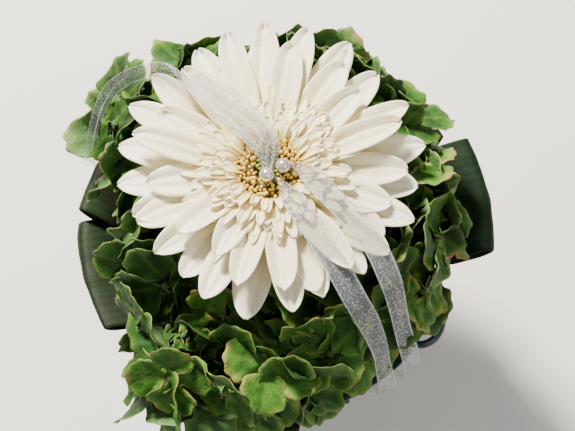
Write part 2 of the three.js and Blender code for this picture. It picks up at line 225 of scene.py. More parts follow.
def grow(name, tree, values, base=None):
    """What a tree makes with these values, as a plain mesh object in the scene."""
    piece = bpy.data.objects.new(name, base or bpy.data.meshes.new(name))
    scene.collection.objects.link(piece)
    modifier = piece.modifiers.new("grow", "NODES")
    modifier.node_group = tree
    for item in tree.interface.items_tree:
        if item.in_out == "INPUT" and item.name in values:
            modifier[item.identifier] = values[item.name]
    graph = bpy.context.evaluated_depsgraph_get()
    mesh = bpy.data.meshes.new_from_object(
        piece.evaluated_get(graph), preserve_all_data_layers=True, depsgraph=graph)
    piece.modifiers.clear()
    piece.data = mesh
    mesh.name = name
    return piece


def finished(tree, geometry, material, end):
    """Makes the copies real, gives them their material and ends the tree."""
    real = add(tree, "GeometryNodeRealizeInstances", {0: geometry})
    painted = add(tree, "GeometryNodeSetMaterial", {0: real, "Material": material})
    feed(tree, painted, end)


petal_ring, given, end = geometry_tree("ring of petals", {
    "Petal": "Object", "Second Petal": "Object", "Count": "Int", "Turn": "Float", "Tilt": "Float",
    "Tilt Spread": "Float", "Twist": "Float", "Length Spread": "Float", "Centre": "Vector", "Curl": "Float",
    "Longer Behind": "Float", "Seed": "Int", "Material": "Material"})
buds = add(petal_ring, "GeometryNodePoints", (given["Count"], given["Centre"]))
number = add(petal_ring, "GeometryNodeInputIndex")
step = add(petal_ring, "ShaderNodeMath", (2 * math.pi, given["Count"]), operation="DIVIDE")
wander = add(petal_ring, "FunctionNodeRandomValue", {2: -0.22, 3: 0.22, 8: given["Seed"]}).outputs[1]
wander = add(petal_ring, "ShaderNodeMath", (number, wander), operation="ADD")
azimuth = add(petal_ring, "ShaderNodeMath", (wander, step), operation="MULTIPLY")
azimuth = add(petal_ring, "ShaderNodeMath", (azimuth, given["Turn"]), operation="ADD")
seed_two = add(petal_ring, "ShaderNodeMath", (given["Seed"], 1), operation="ADD")
seed_three = add(petal_ring, "ShaderNodeMath", (given["Seed"], 2), operation="ADD")
seed_four = add(petal_ring, "ShaderNodeMath", (given["Seed"], 3), operation="ADD")
lift = add(petal_ring, "FunctionNodeRandomValue", {2: -1.0, 3: 1.0, 8: seed_two}).outputs[1]
lift = add(petal_ring, "ShaderNodeMath", (lift, given["Tilt Spread"]), operation="MULTIPLY")
tilt = add(petal_ring, "ShaderNodeMath", (lift, given["Tilt"]), operation="SUBTRACT")
twist = add(petal_ring, "FunctionNodeRandomValue", {2: -1.0, 3: 1.0, 8: seed_three}).outputs[1]
twist = add(petal_ring, "ShaderNodeMath", (twist, given["Twist"]), operation="MULTIPLY")
turned = add(petal_ring, "ShaderNodeCombineXYZ", {0: twist, 1: tilt, 2: azimuth})
turned = add(petal_ring, "FunctionNodeEulerToRotation", {0: turned})
stretch = add(petal_ring, "FunctionNodeRandomValue", {2: -1.0, 3: 0.35, 8: seed_four}).outputs[1]
stretch = add(petal_ring, "ShaderNodeMath", (stretch, given["Length Spread"]), operation="MULTIPLY")
stretch = add(petal_ring, "ShaderNodeMath", (stretch, 1.0), operation="ADD")
uneven = add(petal_ring, "ShaderNodeMath", (azimuth,), operation="SINE")
uneven = add(petal_ring, "ShaderNodeMath", (uneven, given["Longer Behind"]), operation="MULTIPLY")
stretch = add(petal_ring, "ShaderNodeMath", (stretch, uneven), operation="ADD")
broad = add(petal_ring, "FunctionNodeRandomValue", {2: 0.88, 3: 1.1, 8: seed_two}).outputs[1]
size = add(petal_ring, "ShaderNodeCombineXYZ", {0: stretch, 1: broad, 2: 1.0})
both = add(petal_ring, "GeometryNodeJoinGeometry")
for label in ("Petal", "Second Petal"):
    source = add(petal_ring, "GeometryNodeObjectInfo", {"Object": given[label], "As Instance": True})
    petal_ring.links.new(source.outputs["Geometry"], both.inputs[0])
which = add(petal_ring, "FunctionNodeRandomValue", {4: 0, 5: 1, 8: seed_three}, data_type="INT").outputs[2]
petals = add(petal_ring, "GeometryNodeInstanceOnPoints", {
    "Points": buds, "Instance": both, "Pick Instance": True, "Instance Index": which,
    "Rotation": turned, "Scale": size})
own = add(petal_ring, "FunctionNodeRandomValue", {2: 0.0, 3: 1.0, 8: seed_four}).outputs[1]
marked = add(petal_ring, "GeometryNodeStoreNamedAttribute", {
    "Geometry": petals, "Name": "petal_seed", "Value": own}, domain="INSTANCE")
real = add(petal_ring, "GeometryNodeRealizeInstances", {0: marked})
place = add(petal_ring, "GeometryNodeInputPosition")
own = add(petal_ring, "GeometryNodeInputNamedAttribute", {"Name": "petal_seed"})
reach = add(petal_ring, "GeometryNodeInputNamedAttribute", {"Name": "along"})
ripple = add(petal_ring, "ShaderNodeMath", (own, 40.0), operation="MULTIPLY")
ripple = add(petal_ring, "ShaderNodeTexNoise", {"Vector": place, "W": ripple, "Scale": 42.0, "Detail": 1.0},
    noise_dimensions="4D").outputs["Color"]
ripple = add(petal_ring, "ShaderNodeVectorMath", {0: ripple, 1: (0.5, 0.5, 0.5)}, operation="SUBTRACT")
force = add(petal_ring, "ShaderNodeMath", (reach, 1.6), operation="POWER")
force = add(petal_ring, "ShaderNodeMath", (force, given["Curl"]), operation="MULTIPLY")
ripple = add(petal_ring, "ShaderNodeVectorMath", {0: ripple, "Scale": force}, operation="SCALE")
curled = add(petal_ring, "GeometryNodeSetPosition", {"Geometry": real, "Offset": ripple})
finished(petal_ring, curled, given["Material"], end)

# White ray floret: living tissue with a satin skin. The light that sinks in warms the folds, the base is
# cream, partly its own colour and partly a painted warm glow near the eye, and the tip cooler; the grooves
# along it are greyed with painted shade, and a few tips are bruised brown.
white_petal, tree, shader = new_material(
    "white gerbera petal", Roughness=0.5, Sheen_Weight=0.15, Subsurface_Weight=0.35,
    Subsurface_Radius=(1.0, 0.85, 0.6), Subsurface_Scale=0.0015, Specular_IOR_Level=0.35)
along = add(tree, "ShaderNodeAttribute", attribute_name="along").outputs["Fac"]
crest = add(tree, "ShaderNodeAttribute", attribute_name="crest").outputs["Fac"]
own = add(tree, "ShaderNodeAttribute", attribute_name="petal_seed").outputs["Fac"]
where = add(tree, "ShaderNodeTexCoord").outputs["Object"]
# Painted warm glow: the cream at the base is partly the petal's own colour and partly painted warm light near
# the eye.
body = add(tree, "ShaderNodeValToRGB", (along,), stops=(
    (0.0, "#e8cc60"), (0.3, "#faeaaa"), (0.6, "#fdf3ce"), (1.0, "#fcf9ee")))
warm = add(tree, "ShaderNodeMath", (own, 0.4), operation="MULTIPLY")
body = add(tree, "ShaderNodeMix", {0: warm, 6: body, 7: linear("#f4e6c0")}, data_type="RGBA").outputs[2]
# Painted shade in the grooves: the petal is greyed where crest is low, between its crests.
groove_shade = add(tree, "ShaderNodeMath", (1.0, crest), operation="SUBTRACT")
groove_shade = add(tree, "ShaderNodeMath", (groove_shade, 0.28), operation="MULTIPLY")
body = add(tree, "ShaderNodeMix", {0: groove_shade, 6: body, 7: linear("#d5cbab")}, data_type="RGBA").outputs[2]
bruise = add(tree, "ShaderNodeTexNoise", {"Vector": where, "Scale": 95.0, "Detail": 3.0}).outputs["Fac"]
tender = add(tree, "ShaderNodeMath", (own, 0.08), operation="MULTIPLY")
bruise = add(tree, "ShaderNodeMath", (bruise, tender), operation="ADD")
tip = add(tree, "ShaderNodeMath", (along, 0.82), operation="SUBTRACT")
bruise = add(tree, "ShaderNodeMath", (bruise, 0.75), operation="GREATER_THAN")
tip = add(tree, "ShaderNodeMath", (tip, 4.0), operation="MULTIPLY")
bruise = add(tree, "ShaderNodeMath", (bruise, tip), operation="MULTIPLY")
bruise = add(tree, "ShaderNodeClamp", {0: bruise, 1: 0.0, 2: 0.7})
body = add(tree, "ShaderNodeMix", {0: bruise, 6: body, 7: linear("#8a5a33")}, data_type="RGBA").outputs[2]
feed(tree, body, shader.inputs["Base Color"])
fibre = add(tree, "ShaderNodeTexNoise", {"Vector": where, "Scale": 900.0, "Detail": 2.0}).outputs["Fac"]
bump = add(tree, "ShaderNodeBump", {"Strength": 0.25, "Distance": 0.0003, "Height": fibre})
feed(tree, bump, shader.inputs["Normal"])

# Inner frill: the same tissue, shorter and creamier, golden where it leaves the eye: partly its own colour
# and partly a painted warm glow round the eye.
cream_floret, tree, shader = new_material(
    "cream inner floret", Roughness=0.5, Sheen_Weight=0.1, Subsurface_Weight=0.3,
    Subsurface_Radius=(1.0, 0.85, 0.5), Subsurface_Scale=0.0012)
along = add(tree, "ShaderNodeAttribute", attribute_name="along").outputs["Fac"]
own = add(tree, "ShaderNodeAttribute", attribute_name="petal_seed").outputs["Fac"]
# Painted warm glow: the gold at the foot is partly the floret's own colour and partly painted warm light
# round the eye.
body = add(tree, "ShaderNodeValToRGB", (along,), stops=(
    (0.0, "#e6c65a"), (0.35, "#f8e290"), (0.7, "#fdf0bc"), (1.0, "#fef6d6")))
own = add(tree, "ShaderNodeMath", (own, 0.35), operation="MULTIPLY")
body = add(tree, "ShaderNodeMix", {0: own, 6: body, 7: linear("#ecd9a0")}, data_type="RGBA").outputs[2]
feed(tree, body, shader.inputs["Base Color"])

rings = {
    # start, tip, width, rise, cup, then count, height over the face, tilt, tilt spread, twist, how much
    # shorter some are, seed
    "gerbera_outer_petals": (9, 57, 13.4, 2.5, 1.4, 23, -8.0, 0, 4, 9, 0.05, 11),
    "gerbera_middle_petals": (9, 50.5, 12.6, 4.0, 1.7, 20, -5.6, 0.5, 5, 11, 0.16, 23),
}
for name, (start, tip, width, rise, cup, count, height, tilt, spread, twist, shorter, seed) in rings.items():
    first = template("strap_petal", petal_mesh("strap_petal", start, tip, width, rise, cup))
    second = petal_mesh("cupped_petal", start, tip * 0.97, width * 0.93, rise + 1, cup * 1.8)
    second = template("cupped_petal", second)
    ring = grow(name + "_rays", petal_ring, {
        "Petal": first, "Second Petal": second, "Count": count, "Turn": math.radians(seed),
        "Tilt": math.radians(tilt), "Tilt Spread": math.radians(spread), "Twist": math.radians(twist),
        "Length Spread": shorter, "Centre": (AXIS_X, AXIS_Y, FACE + height * MM), "Curl": 3.4 * MM,
        "Longer Behind": 0.07, "Seed": seed, "Material": white_petal})
    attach(ring, "root")
    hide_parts(name)

frills = {
    # start, tip, width, rise, then count, height over the face, tilt, tilt spread, seed
    "outer": (10, 33.5, 5.0, 2.6, 42, -3.2, 1, 3, 31),
    "middle": (10, 28.5, 4.4, 3.2, 44, -2.4, 4, 3, 37),
    "inner": (10.5, 24, 3.6, 3.2, 42, -1.8, 5, 3, 41),
    "innermost": (11, 19.5, 3.0, 3.2, 38, -1.2, 8, 3, 43),
}
frill_parts = []
for label, (start, tip, width, rise, count, height, tilt, spread, seed) in frills.items():
    first = petal_mesh("short_floret", start, tip, width, rise, 0.8, 10, 7, neck=0.6)
    second = petal_mesh("split_floret", start, tip * 0.9, width, rise, 1.4, 10, 7, neck=0.6, notch=1.0)
    first, second = template("short_floret", first), template("split_floret", second)
    frill_parts.append(grow("gerbera_frill_" + label, petal_ring, {
        "Petal": first, "Second Petal": second, "Count": count, "Turn": math.radians(seed * 7),
        "Tilt": math.radians(tilt), "Tilt Spread": math.radians(spread), "Twist": math.radians(16),
        "Length Spread": 0.14, "Centre": (AXIS_X, AXIS_Y, FACE + height * MM), "Curl": 1.5 * MM,
        "Seed": seed, "Material": cream_floret}))
for part in frill_parts:
    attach(part, "root")
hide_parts("gerbera_inner_florets")

# ---------------------------------------------------------------- gerbera eye
# The eye is packed with tiny tube florets in sunflower spirals. The ones round the rim are open, with
# brown anther tubes tipped in gold pollen, and the ones in the middle are still green buds.

GOLDEN_ANGLE = math.pi * (3 - math.sqrt(5))  # from each floret to the next in a sunflower spiral
EYE_RADIUS, EYE_RIDGE = 12 * MM, 1.6 * MM
BUDS, ANTHERS, BUD_PLACES = 42, 196, 40.0  # the anthers start a little inside the last of the buds
seed_head, given, end = geometry_tree("seed head", {
    "Floret": "Object", "Count": "Int", "First": "Float", "Whole": "Float", "Radius": "Float",
    "Centre": "Vector", "Ridge": "Float", "Seed": "Int", "Material": "Material"})
dots = add(seed_head, "GeometryNodePoints", {"Count": given["Count"]})
number = add(seed_head, "GeometryNodeInputIndex")
number = add(seed_head, "ShaderNodeMath", (number, given["First"]), operation="ADD")
share = add(seed_head, "ShaderNodeMath", (number, given["Whole"]), operation="DIVIDE")
share = add(seed_head, "ShaderNodeMath", (share,), operation="SQRT")
radius = add(seed_head, "ShaderNodeMath", (share, given["Radius"]), operation="MULTIPLY")
azimuth = add(seed_head, "ShaderNodeMath", (number, GOLDEN_ANGLE), operation="MULTIPLY")
bulge = add(seed_head, "ShaderNodeMath", (share, 3.9), operation="MULTIPLY")
bulge = add(seed_head, "ShaderNodeMath", (bulge,), operation="SINE")
height = add(seed_head, "ShaderNodeMath", (bulge, share), operation="MULTIPLY")
height = add(seed_head, "ShaderNodeMath", (height, given["Ridge"]), operation="MULTIPLY")
spot = add(seed_head, "ShaderNodeMath", (azimuth,), operation="COSINE")
spot = add(seed_head, "ShaderNodeMath", (radius, spot), operation="MULTIPLY")
sideways = add(seed_head, "ShaderNodeMath", (azimuth,), operation="SINE")
sideways = add(seed_head, "ShaderNodeMath", (radius, sideways), operation="MULTIPLY")
spot = add(seed_head, "ShaderNodeCombineXYZ", {0: spot, 1: sideways, 2: height})
spot = add(seed_head, "ShaderNodeVectorMath", {0: spot, 1: given["Centre"]}, operation="ADD")
dots = add(seed_head, "GeometryNodeSetPosition", {"Geometry": dots, "Position": spot})
seed_two = add(seed_head, "ShaderNodeMath", (given["Seed"], 1), operation="ADD")
lean = add(seed_head, "ShaderNodeMath", (share, 0.5), operation="MULTIPLY")
stray = add(seed_head, "FunctionNodeRandomValue", {2: -0.22, 3: 0.22, 8: given["Seed"]}).outputs[1]
lean = add(seed_head, "ShaderNodeMath", (lean, stray), operation="ADD")
turned = add(seed_head, "FunctionNodeRandomValue", {2: -0.2, 3: 0.2, 8: seed_two}).outputs[1]
turned = add(seed_head, "ShaderNodeCombineXYZ", {0: turned, 1: lean, 2: azimuth})
turned = add(seed_head, "FunctionNodeEulerToRotation", {0: turned})
size = add(seed_head, "FunctionNodeRandomValue", {2: 0.75, 3: 1.15, 8: seed_two}).outputs[1]
source = add(seed_head, "GeometryNodeObjectInfo", {"Object": given["Floret"], "As Instance": True})
florets = add(seed_head, "GeometryNodeInstanceOnPoints", {
    "Points": dots, "Instance": source.outputs["Geometry"], "Rotation": turned, "Scale": size})
own = add(seed_head, "FunctionNodeRandomValue", {2: 0.0, 3: 1.0, 8: seed_two}).outputs[1]
florets = add(seed_head, "GeometryNodeStoreNamedAttribute", {
    "Geometry": florets, "Name": "petal_seed", "Value": own}, domain="INSTANCE")
finished(seed_head, florets, given["Material"], end)


def lathe_mesh(name, profile, sides):
    """A small turned shape from (radius, height) pairs in millimetres, closed at both ends."""
    vertices = [(0, 0, profile[0][1] * MM)]
    faces = []
    for radius, z in profile:
        for k in range(sides):
            angle = 2 * math.pi * k / sides
            vertices.append((radius * math.cos(angle) * MM, radius * math.sin(angle) * MM, z * MM))
    vertices.append((0, 0, profile[-1][1] * MM))
    last = len(vertices) - 1
    for k in range(sides):
        follow = (k + 1) % sides
        faces.append((0, 1 + follow, 1 + k))
        for row in range(len(profile) - 1):
            low = 1 + row * sides
            faces.append((low + k, low + follow, low + sides + follow, low + sides + k))
        faces.append((last, last - sides + k, last - sides + follow))
    mesh = bpy.data.meshes.new(name)
    mesh.from_pydata(vertices, [], faces)
    top = profile[-1][1]
    heights = np.array([v[2] for v in vertices], dtype=np.float32) / MM / top
    mesh.attributes.new("along", "FLOAT", "POINT").data.foreach_set("value", heights)
    mesh.polygons.foreach_set("use_smooth", [True] * len(mesh.polygons))
    return mesh


# Anther tube: olive brown at the foot, partly its own colour and partly painted shade down between the
# florets, under loose gold pollen, dry and matt.
anther, tree, shader = new_material("pollen on anther tubes", Roughness=0.85, Sheen_Weight=0.3)
along = add(tree, "ShaderNodeAttribute", attribute_name="along").outputs["Fac"]
own = add(tree, "ShaderNodeAttribute", attribute_name="petal_seed").outputs["Fac"]
level = add(tree, "ShaderNodeMath", (own, 0.5), operation="SUBTRACT")
level = add(tree, "ShaderNodeMath", (level, 0.5), operation="MULTIPLY")
level = add(tree, "ShaderNodeMath", (along, level), operation="ADD")
# Darker towards the foot: partly the tube's own olive brown and partly painted shade between the florets.
body = add(tree, "ShaderNodeValToRGB", (level,), stops=(
    (0.0, "#665a12"), (0.4, "#a8841a"), (0.7, "#e0b41e"), (1.0, "#f0d24a")))
feed(tree, body, shader.inputs["Base Color"])

# Unopened buds: waxy yellow green.
green_bud, tree, shader = new_material("unopened disc buds", Roughness=0.5)
along = add(tree, "ShaderNodeAttribute", attribute_name="along").outputs["Fac"]
body = add(tree, "ShaderNodeValToRGB", (along,), stops=(
    (0.0, "#4d5316"), (0.55, "#818a2c"), (1.0, "#aeb254")))
feed(tree, body, shader.inputs["Base Color"])

tube_profile = [(0.5, 0), (0.42, 1.2), (0.4, 2.2), (0.66, 2.8), (0.6, 3.5), (0.2, 3.9)]
open_floret = template("anther_tube", lathe_mesh("anther_tube", tube_profile, 6))
bud = template("disc_bud", lathe_mesh("disc_bud", [(0.6, 0), (0.66, 0.9), (0.5, 1.7), (0.14, 2.0)], 6))
anthers = grow("gerbera_anthers", seed_head, {
    "Floret": open_floret, "Count": ANTHERS, "First": BUD_PLACES, "Whole": BUD_PLACES + ANTHERS,
    "Radius": EYE_RADIUS, "Ridge": EYE_RIDGE, "Centre": (AXIS_X, AXIS_Y, FACE + 0.5 * MM), "Seed": 5,
    "Material": anther})
buds = grow("gerbera_buds", seed_head, {
    "Floret": bud, "Count": BUDS, "First": 0.5, "Whole": BUD_PLACES + ANTHERS,
    "Radius": EYE_RADIUS, "Ridge": EYE_RIDGE, "Centre": (AXIS_X, AXIS_Y, FACE + 1.4 * MM), "Seed": 6,
    "Material": green_bud})
for part in (anthers, buds):
    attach(part, "root")

# The fleshy receptacle under the florets: brownish tissue that shows only in the gaps between them.
receptacle, tree, shader = new_material("gerbera receptacle", Roughness=0.7)
where = add(tree, "ShaderNodeTexCoord").outputs["Object"]
speckle = add(tree, "ShaderNodeTexNoise", {"Vector": where, "Scale": 700.0, "Detail": 2.0}).outputs["Fac"]
body = add(tree, "ShaderNodeValToRGB", (speckle,), stops=((0.35, "#4a3a17"), (0.65, "#7b6427")))
feed(tree, body, shader.inputs["Base Color"])


def repaint(node, material):
    """Gives a piece that is kept as it was cut a better finish."""
    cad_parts[node].data.materials.clear()
    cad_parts[node].data.materials.append(material)


repaint("gerbera_disc", receptacle)

# ---------------------------------------------------------------- calyx
# The green cup behind the petals, wrapped in overlapping narrow bracts with downy edges.

bract_green, tree, shader = new_material("downy green bracts", Roughness=0.65, Sheen_Weight=0.25)
where = add(tree, "ShaderNodeTexCoord").outputs["Object"]
along = add(tree, "ShaderNodeAttribute", attribute_name="along").outputs["Fac"]
mottle = add(tree, "ShaderNodeTexNoise", {"Vector": where, "Scale": 320.0, "Detail": 3.0}).outputs["Fac"]
body = add(tree, "ShaderNodeValToRGB", (mottle,), stops=((0.35, "#41682c"), (0.65, "#638c42")))
tipped = add(tree, "ShaderNodeMath", (along, 5.0), operation="POWER")
tipped = add(tree, "ShaderNodeMath", (tipped, 0.6), operation="MULTIPLY")
body = add(tree, "ShaderNodeMix", {0: tipped, 6: body, 7: linear("#7a5a44")}, data_type="RGBA").outputs[2]
feed(tree, body, shader.inputs["Base Color"])

calyx_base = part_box("gerbera_calyx")[0][2]
for label, count, start, tip, height, tilt in (
        ("upper", 18, 6.8, 20.5, 3.2, 44), ("lower", 14, 5.0, 17.5, 1.2, 54)):
    bract = template("bract", petal_mesh("bract", start, tip, 4.6, 0.6, 0.5, 9, 5, neck=0.8, notch=0))
    bracts = grow("gerbera_bracts_" + label, petal_ring, {
        "Petal": bract, "Second Petal": bract, "Count": count, "Turn": 0.1 * count,
        "Tilt": math.radians(tilt), "Tilt Spread": math.radians(3), "Twist": math.radians(5),
        "Length Spread": 0.06, "Centre": (AXIS_X, AXIS_Y, calyx_base - height * MM), "Curl": 0.5 * MM,
        "Seed": count, "Material": bract_green})
    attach(bracts, "root")
repaint("gerbera_calyx", bract_green)

# ---------------------------------------------------------------- stems
# Every flower and leaf keeps its own stem. They cross in a spiral at the tie, splay out below it and are
# cut level, so that the bunch stands on them. The scape is soft and downy, the hydrangea's are woody.

TIE = (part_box("binding_twine")[0][2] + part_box("binding_twine")[1][2]) / 2
SCAPE_RADIUS, WOODY_RADIUS, STALK_RADIUS = 2.9 * MM, 2.85 * MM, 1.85 * MM
# How far from the axis a spiral stem crosses the tie, how much it slants, and how high its top is.
WOODY_SPIRAL = (7.3, 0.59, 133.5)
STALK_SPIRAL = (13.6, 0.76, 106.5)


def rod_mesh(name, points, radii, sides=18, ribs=0, rib_depth=0.0, level_ends=False):
    """A closed rod through points, in metres, with lengthwise ribs; level_ends cuts it flat across Z."""
    points = [Vector(p) for p in points]
    count = len(points)
    vertices = []
    cut = []
    side = None
    for i, point in enumerate(points):
        along = (points[min(i + 1, count - 1)] - points[max(i - 1, 0)]).normalized()
        side = (side or along.orthogonal()) - along * (side or along.orthogonal()).dot(along)
        side.normalize()
        other = along.cross(side)
        for k in range(sides):
            angle = 2 * math.pi * k / sides
            reach = radii[i] * (1 + rib_depth * math.cos(ribs * angle))
            offset = (side * math.cos(angle) + other * math.sin(angle)) * reach
            if level_ends and i in (0, count - 1):
                offset -= along * (offset.z / along.z)
            vertices.append(point + offset)
            cut.append(0.0)
    vertices += [points[0], points[-1]]
    cut += [1.0, 1.0]
    faces = []
    for i in range(count - 1):
        for k in range(sides):
            a, b = i * sides + k, i * sides + (k + 1) % sides
            faces.append((a, b, b + sides, a + sides))
    first, last = count * sides, count * sides + 1
    for k in range(sides):
        follow = (k + 1) % sides
        faces.append((first, follow, k))
        faces.append((last, (count - 1) * sides + k, (count - 1) * sides + follow))
    mesh = bpy.data.meshes.new(name)
    mesh.from_pydata([tuple(v) for v in vertices], [], faces)
    mesh.attributes.new("cut", "FLOAT", "POINT").data.foreach_set("value", cut)
    smooth = [len(face.vertices) == 4 for face in mesh.polygons]
    mesh.polygons.foreach_set("use_smooth", smooth)
    return mesh


def stem_material(name, dark, light, pith, roughness, streak):
    """A stem's skin with streaks along it, and the paler flesh where it is cut."""
    material, tree, shader = new_material(name, Roughness=roughness)
    where = add(tree, "ShaderNodeTexCoord").outputs["Object"]
    shape = add(tree, "ShaderNodeMapping", {"Vector": where, "Scale": (1, 1, 0.12)})
    streaks = add(tree, "ShaderNodeTexNoise", {"Vector": shape, "Scale": streak, "Detail": 4.0})
    streaks = streaks.outputs["Fac"]
    skin = add(tree, "ShaderNodeValToRGB", (streaks,), stops=((0.35, dark), (0.65, light)))
    cut = add(tree, "ShaderNodeAttribute", attribute_name="cut").outputs["Fac"]
    flesh = add(tree, "ShaderNodeMath", (cut, 1.3), operation="MULTIPLY")
    flesh = add(tree, "ShaderNodeClamp", {0: flesh})
    skin = add(tree, "ShaderNodeMix", {0: flesh, 6: skin, 7: linear(pith)}, data_type="RGBA").outputs[2]
    feed(tree, skin, shader.inputs["Base Color"])
    bump = add(tree, "ShaderNodeBump", {"Strength": 0.5, "Distance": 0.0003, "Height": streaks})
    feed(tree, bump, shader.inputs["Normal"])
    return material


soft_stem = stem_material("downy gerbera scape", "#5d7d36", "#86a356", "#cfd8a4", 0.6, 700.0)
woody_stem = stem_material("woody hydrangea stem", "#5c5a36", "#7f8a4e", "#d9d3ac", 0.75, 520.0)
leaf_stalk = stem_material("aspidistra leaf stalk", "#2f4f22", "#4f7434", "#b9c88c", 0.45, 600.0)


def spiral_line(waist, slant, top, azimuth, count):
    """Points up a straight stem that crosses the tie at an angle, from the floor to its top."""
    crossing = math.radians(azimuth) - math.atan2((top - TIE / MM) * slant, waist)
    points = []
    for i in range(count):
        z = top * i / (count - 1)
        sideways = (z - TIE / MM) * slant
        x = waist * math.cos(crossing) - sideways * math.sin(crossing)
        y = waist * math.sin(crossing) + sideways * math.cos(crossing)
        points.append((AXIS_X + x * MM, AXIS_Y + y * MM, z * MM))
    return points


def add_piece(name, mesh, material, slot, *nodes):
    """A finished piece that rides on the posy and stands for its nodes."""
    piece = bpy.data.objects.new(name, mesh)
    if material:
        mesh.materials.append(material)
    scene.collection.objects.link(piece)
    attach(piece, "root")
    if nodes:
        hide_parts(*nodes)
    return piece


def knuckled(count, radius, bumps, swell):
    """Radii along a stem that thickens at its leaf joints."""
    radii = []
    for i in range(count):
        share = i / (count - 1)
        nearest = min(abs(share - bump) for bump in bumps)
        radii.append(radius * (1 + swell * math.exp(-((nearest / 0.02) ** 2))))
    return radii


scape_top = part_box("gerbera_stem")[1][2]
scape = [(AXIS_X, AXIS_Y, scape_top * i / 24) for i in range(25)]
scape_radii = [SCAPE_RADIUS] * 23 + [SCAPE_RADIUS + 0.1 * MM, SCAPE_RADIUS + 0.4 * MM]
add_piece("gerbera_scape", rod_mesh("gerbera_scape", scape, scape_radii, 24, 9, 0.03, True),
          soft_stem, "stem_green", "gerbera_stem")

HEAD_AZIMUTHS = [-90, -18, 54, 126, 198]
for i, azimuth in enumerate(HEAD_AZIMUTHS, 1):
    line = spiral_line(*WOODY_SPIRAL, azimuth, 40)
    radii = knuckled(40, WOODY_RADIUS, (0.16 + 0.03 * i, 0.82 - 0.02 * i), 0.18)
    add_piece(f"woody_stem_{i}", rod_mesh(f"woody_stem_{i}", line, radii, 20, 6, 0.03, True),
              woody_stem, "woody_green", f"hydrangea_stem_{i}")

# Where each collar leaf points, and how far out it folds back.
LEAVES = [(10, 92), (47, 86), (84, 84), (120, 84), (156, 80), (194, 80), (261, 85), (300, 76)]
for i, (azimuth, reach) in enumerate(LEAVES, 1):
    line = spiral_line(*STALK_SPIRAL, azimuth, 24)
    radii = [STALK_RADIUS] * 24
    add_piece(f"leaf_stalk_{i}", rod_mesh(f"leaf_stalk_{i}", line, radii, 16, 3, 0.08, True),
              leaf_stalk, "stem_green", f"aspidistra_stalk_{i}")

# ---------------------------------------------------------------- hydrangea heads
# Each head is a loose ball of florets on thin branching stalks. A floret is four broad green sepals
# round a tiny bud, each one puckered between its veins, toothed and wavy at its paler edge.

SEPAL_THICKNESS = 0.24
KINDS = 5  # of floret

def sepal_grid(length, width, spin, wobble, cup, ruffle):
    """One sepal with its claw at the centre of the floret, turned by spin degrees: points and marks."""
    side = np.linspace(-1, 1, 13)
    a, b = np.meshgrid(side, side)
    x = a * np.sqrt(1 - b * b / 2)
    y = b * np.sqrt(1 - a * a / 2)
    rim = np.sqrt(x * x + y * y)
    theta = np.arctan2(y, x)
    teeth = 0.045 * np.sin(11 * theta + wobble) * rim ** 6
    lobes = 0.03 * np.sin(3 * theta + 2 * wobble) * rim ** 2
    swell = 1 + teeth + lobes
    narrow = 0.16 + 0.84 * settle((x + 1) / 0.95)
    px = (x * swell + 1) * length / 2 + 0.6
    py = y * swell * narrow * width / 2
    slant = px * 0.95 - np.abs(py) * 0.8
    pucker = np.cos(2 * np.pi * slant / 5.6 + wobble) * settle(np.abs(py) / 2.5)
    midrib = np.exp(-((py / 0.75) ** 2))
    pz = 0.5 * pucker * settle((1.15 - rim) * 2) - 0.6 * midrib * settle((1.1 - rim) * 3)
    pz = pz + cup * (px / length) ** 2 * length * 0.5 - cup * 0.5 * (py / width) ** 2 * width
    pz = pz + ruffle * rim ** 2.5 * (np.sin(2 * theta + 3 * wobble) + 0.45 * np.sin(5 * theta + wobble))
    turn = math.radians(spin)
    gx = px * math.cos(turn) - py * math.sin(turn)
    gy = px * math.sin(turn) + py * math.cos(turn)
    vein = np.clip(midrib + 0.2 * settle(0.5 - pucker / 2), 0, 1)
    return np.stack([gx, gy, pz], axis=-1), rim, vein


def join_meshes(name, meshes):
    """One mesh from several, with their marks and materials' places kept."""
    parts = [bpy.data.objects.new(name, mesh) for mesh in meshes]
    for part in parts:
        scene.collection.objects.link(part)
    with bpy.context.temp_override(
            active_object=parts[0], selected_objects=parts, selected_editable_objects=parts, object=parts[0]):
        bpy.ops.object.join()
    mesh = parts[0].data
    bpy.data.objects.remove(parts[0])
    mesh.name = name
    return mesh


floret_kinds = []
dice = random.Random(7)
for kind in range(KINDS):
    sepals = []
    for k in range(4):
        points, rim, vein = sepal_grid(
            dice.uniform(17.5, 21.5), dice.uniform(20, 25), 90 * k + dice.uniform(-9, 9), dice.uniform(0, 6),
            dice.uniform(-0.25, 0.9), dice.uniform(1.1, 2.8))
        points[:, :, 2] += 0.7 * (k % 2) + 0.5
        sepals.append(blade_mesh("sepal", points, SEPAL_THICKNESS, margin=rim, vein=vein))
    button = lathe_mesh("floret_bud", [(0.8, -1.6), (1.5, 0.2), (2.0, 1.4), (1.6, 2.5), (0.6, 3.1)], 8)
    sepals.append(button)
    floret_kinds.append(template(f"floret_{kind}", join_meshes(f"floret_{kind}", sepals)))

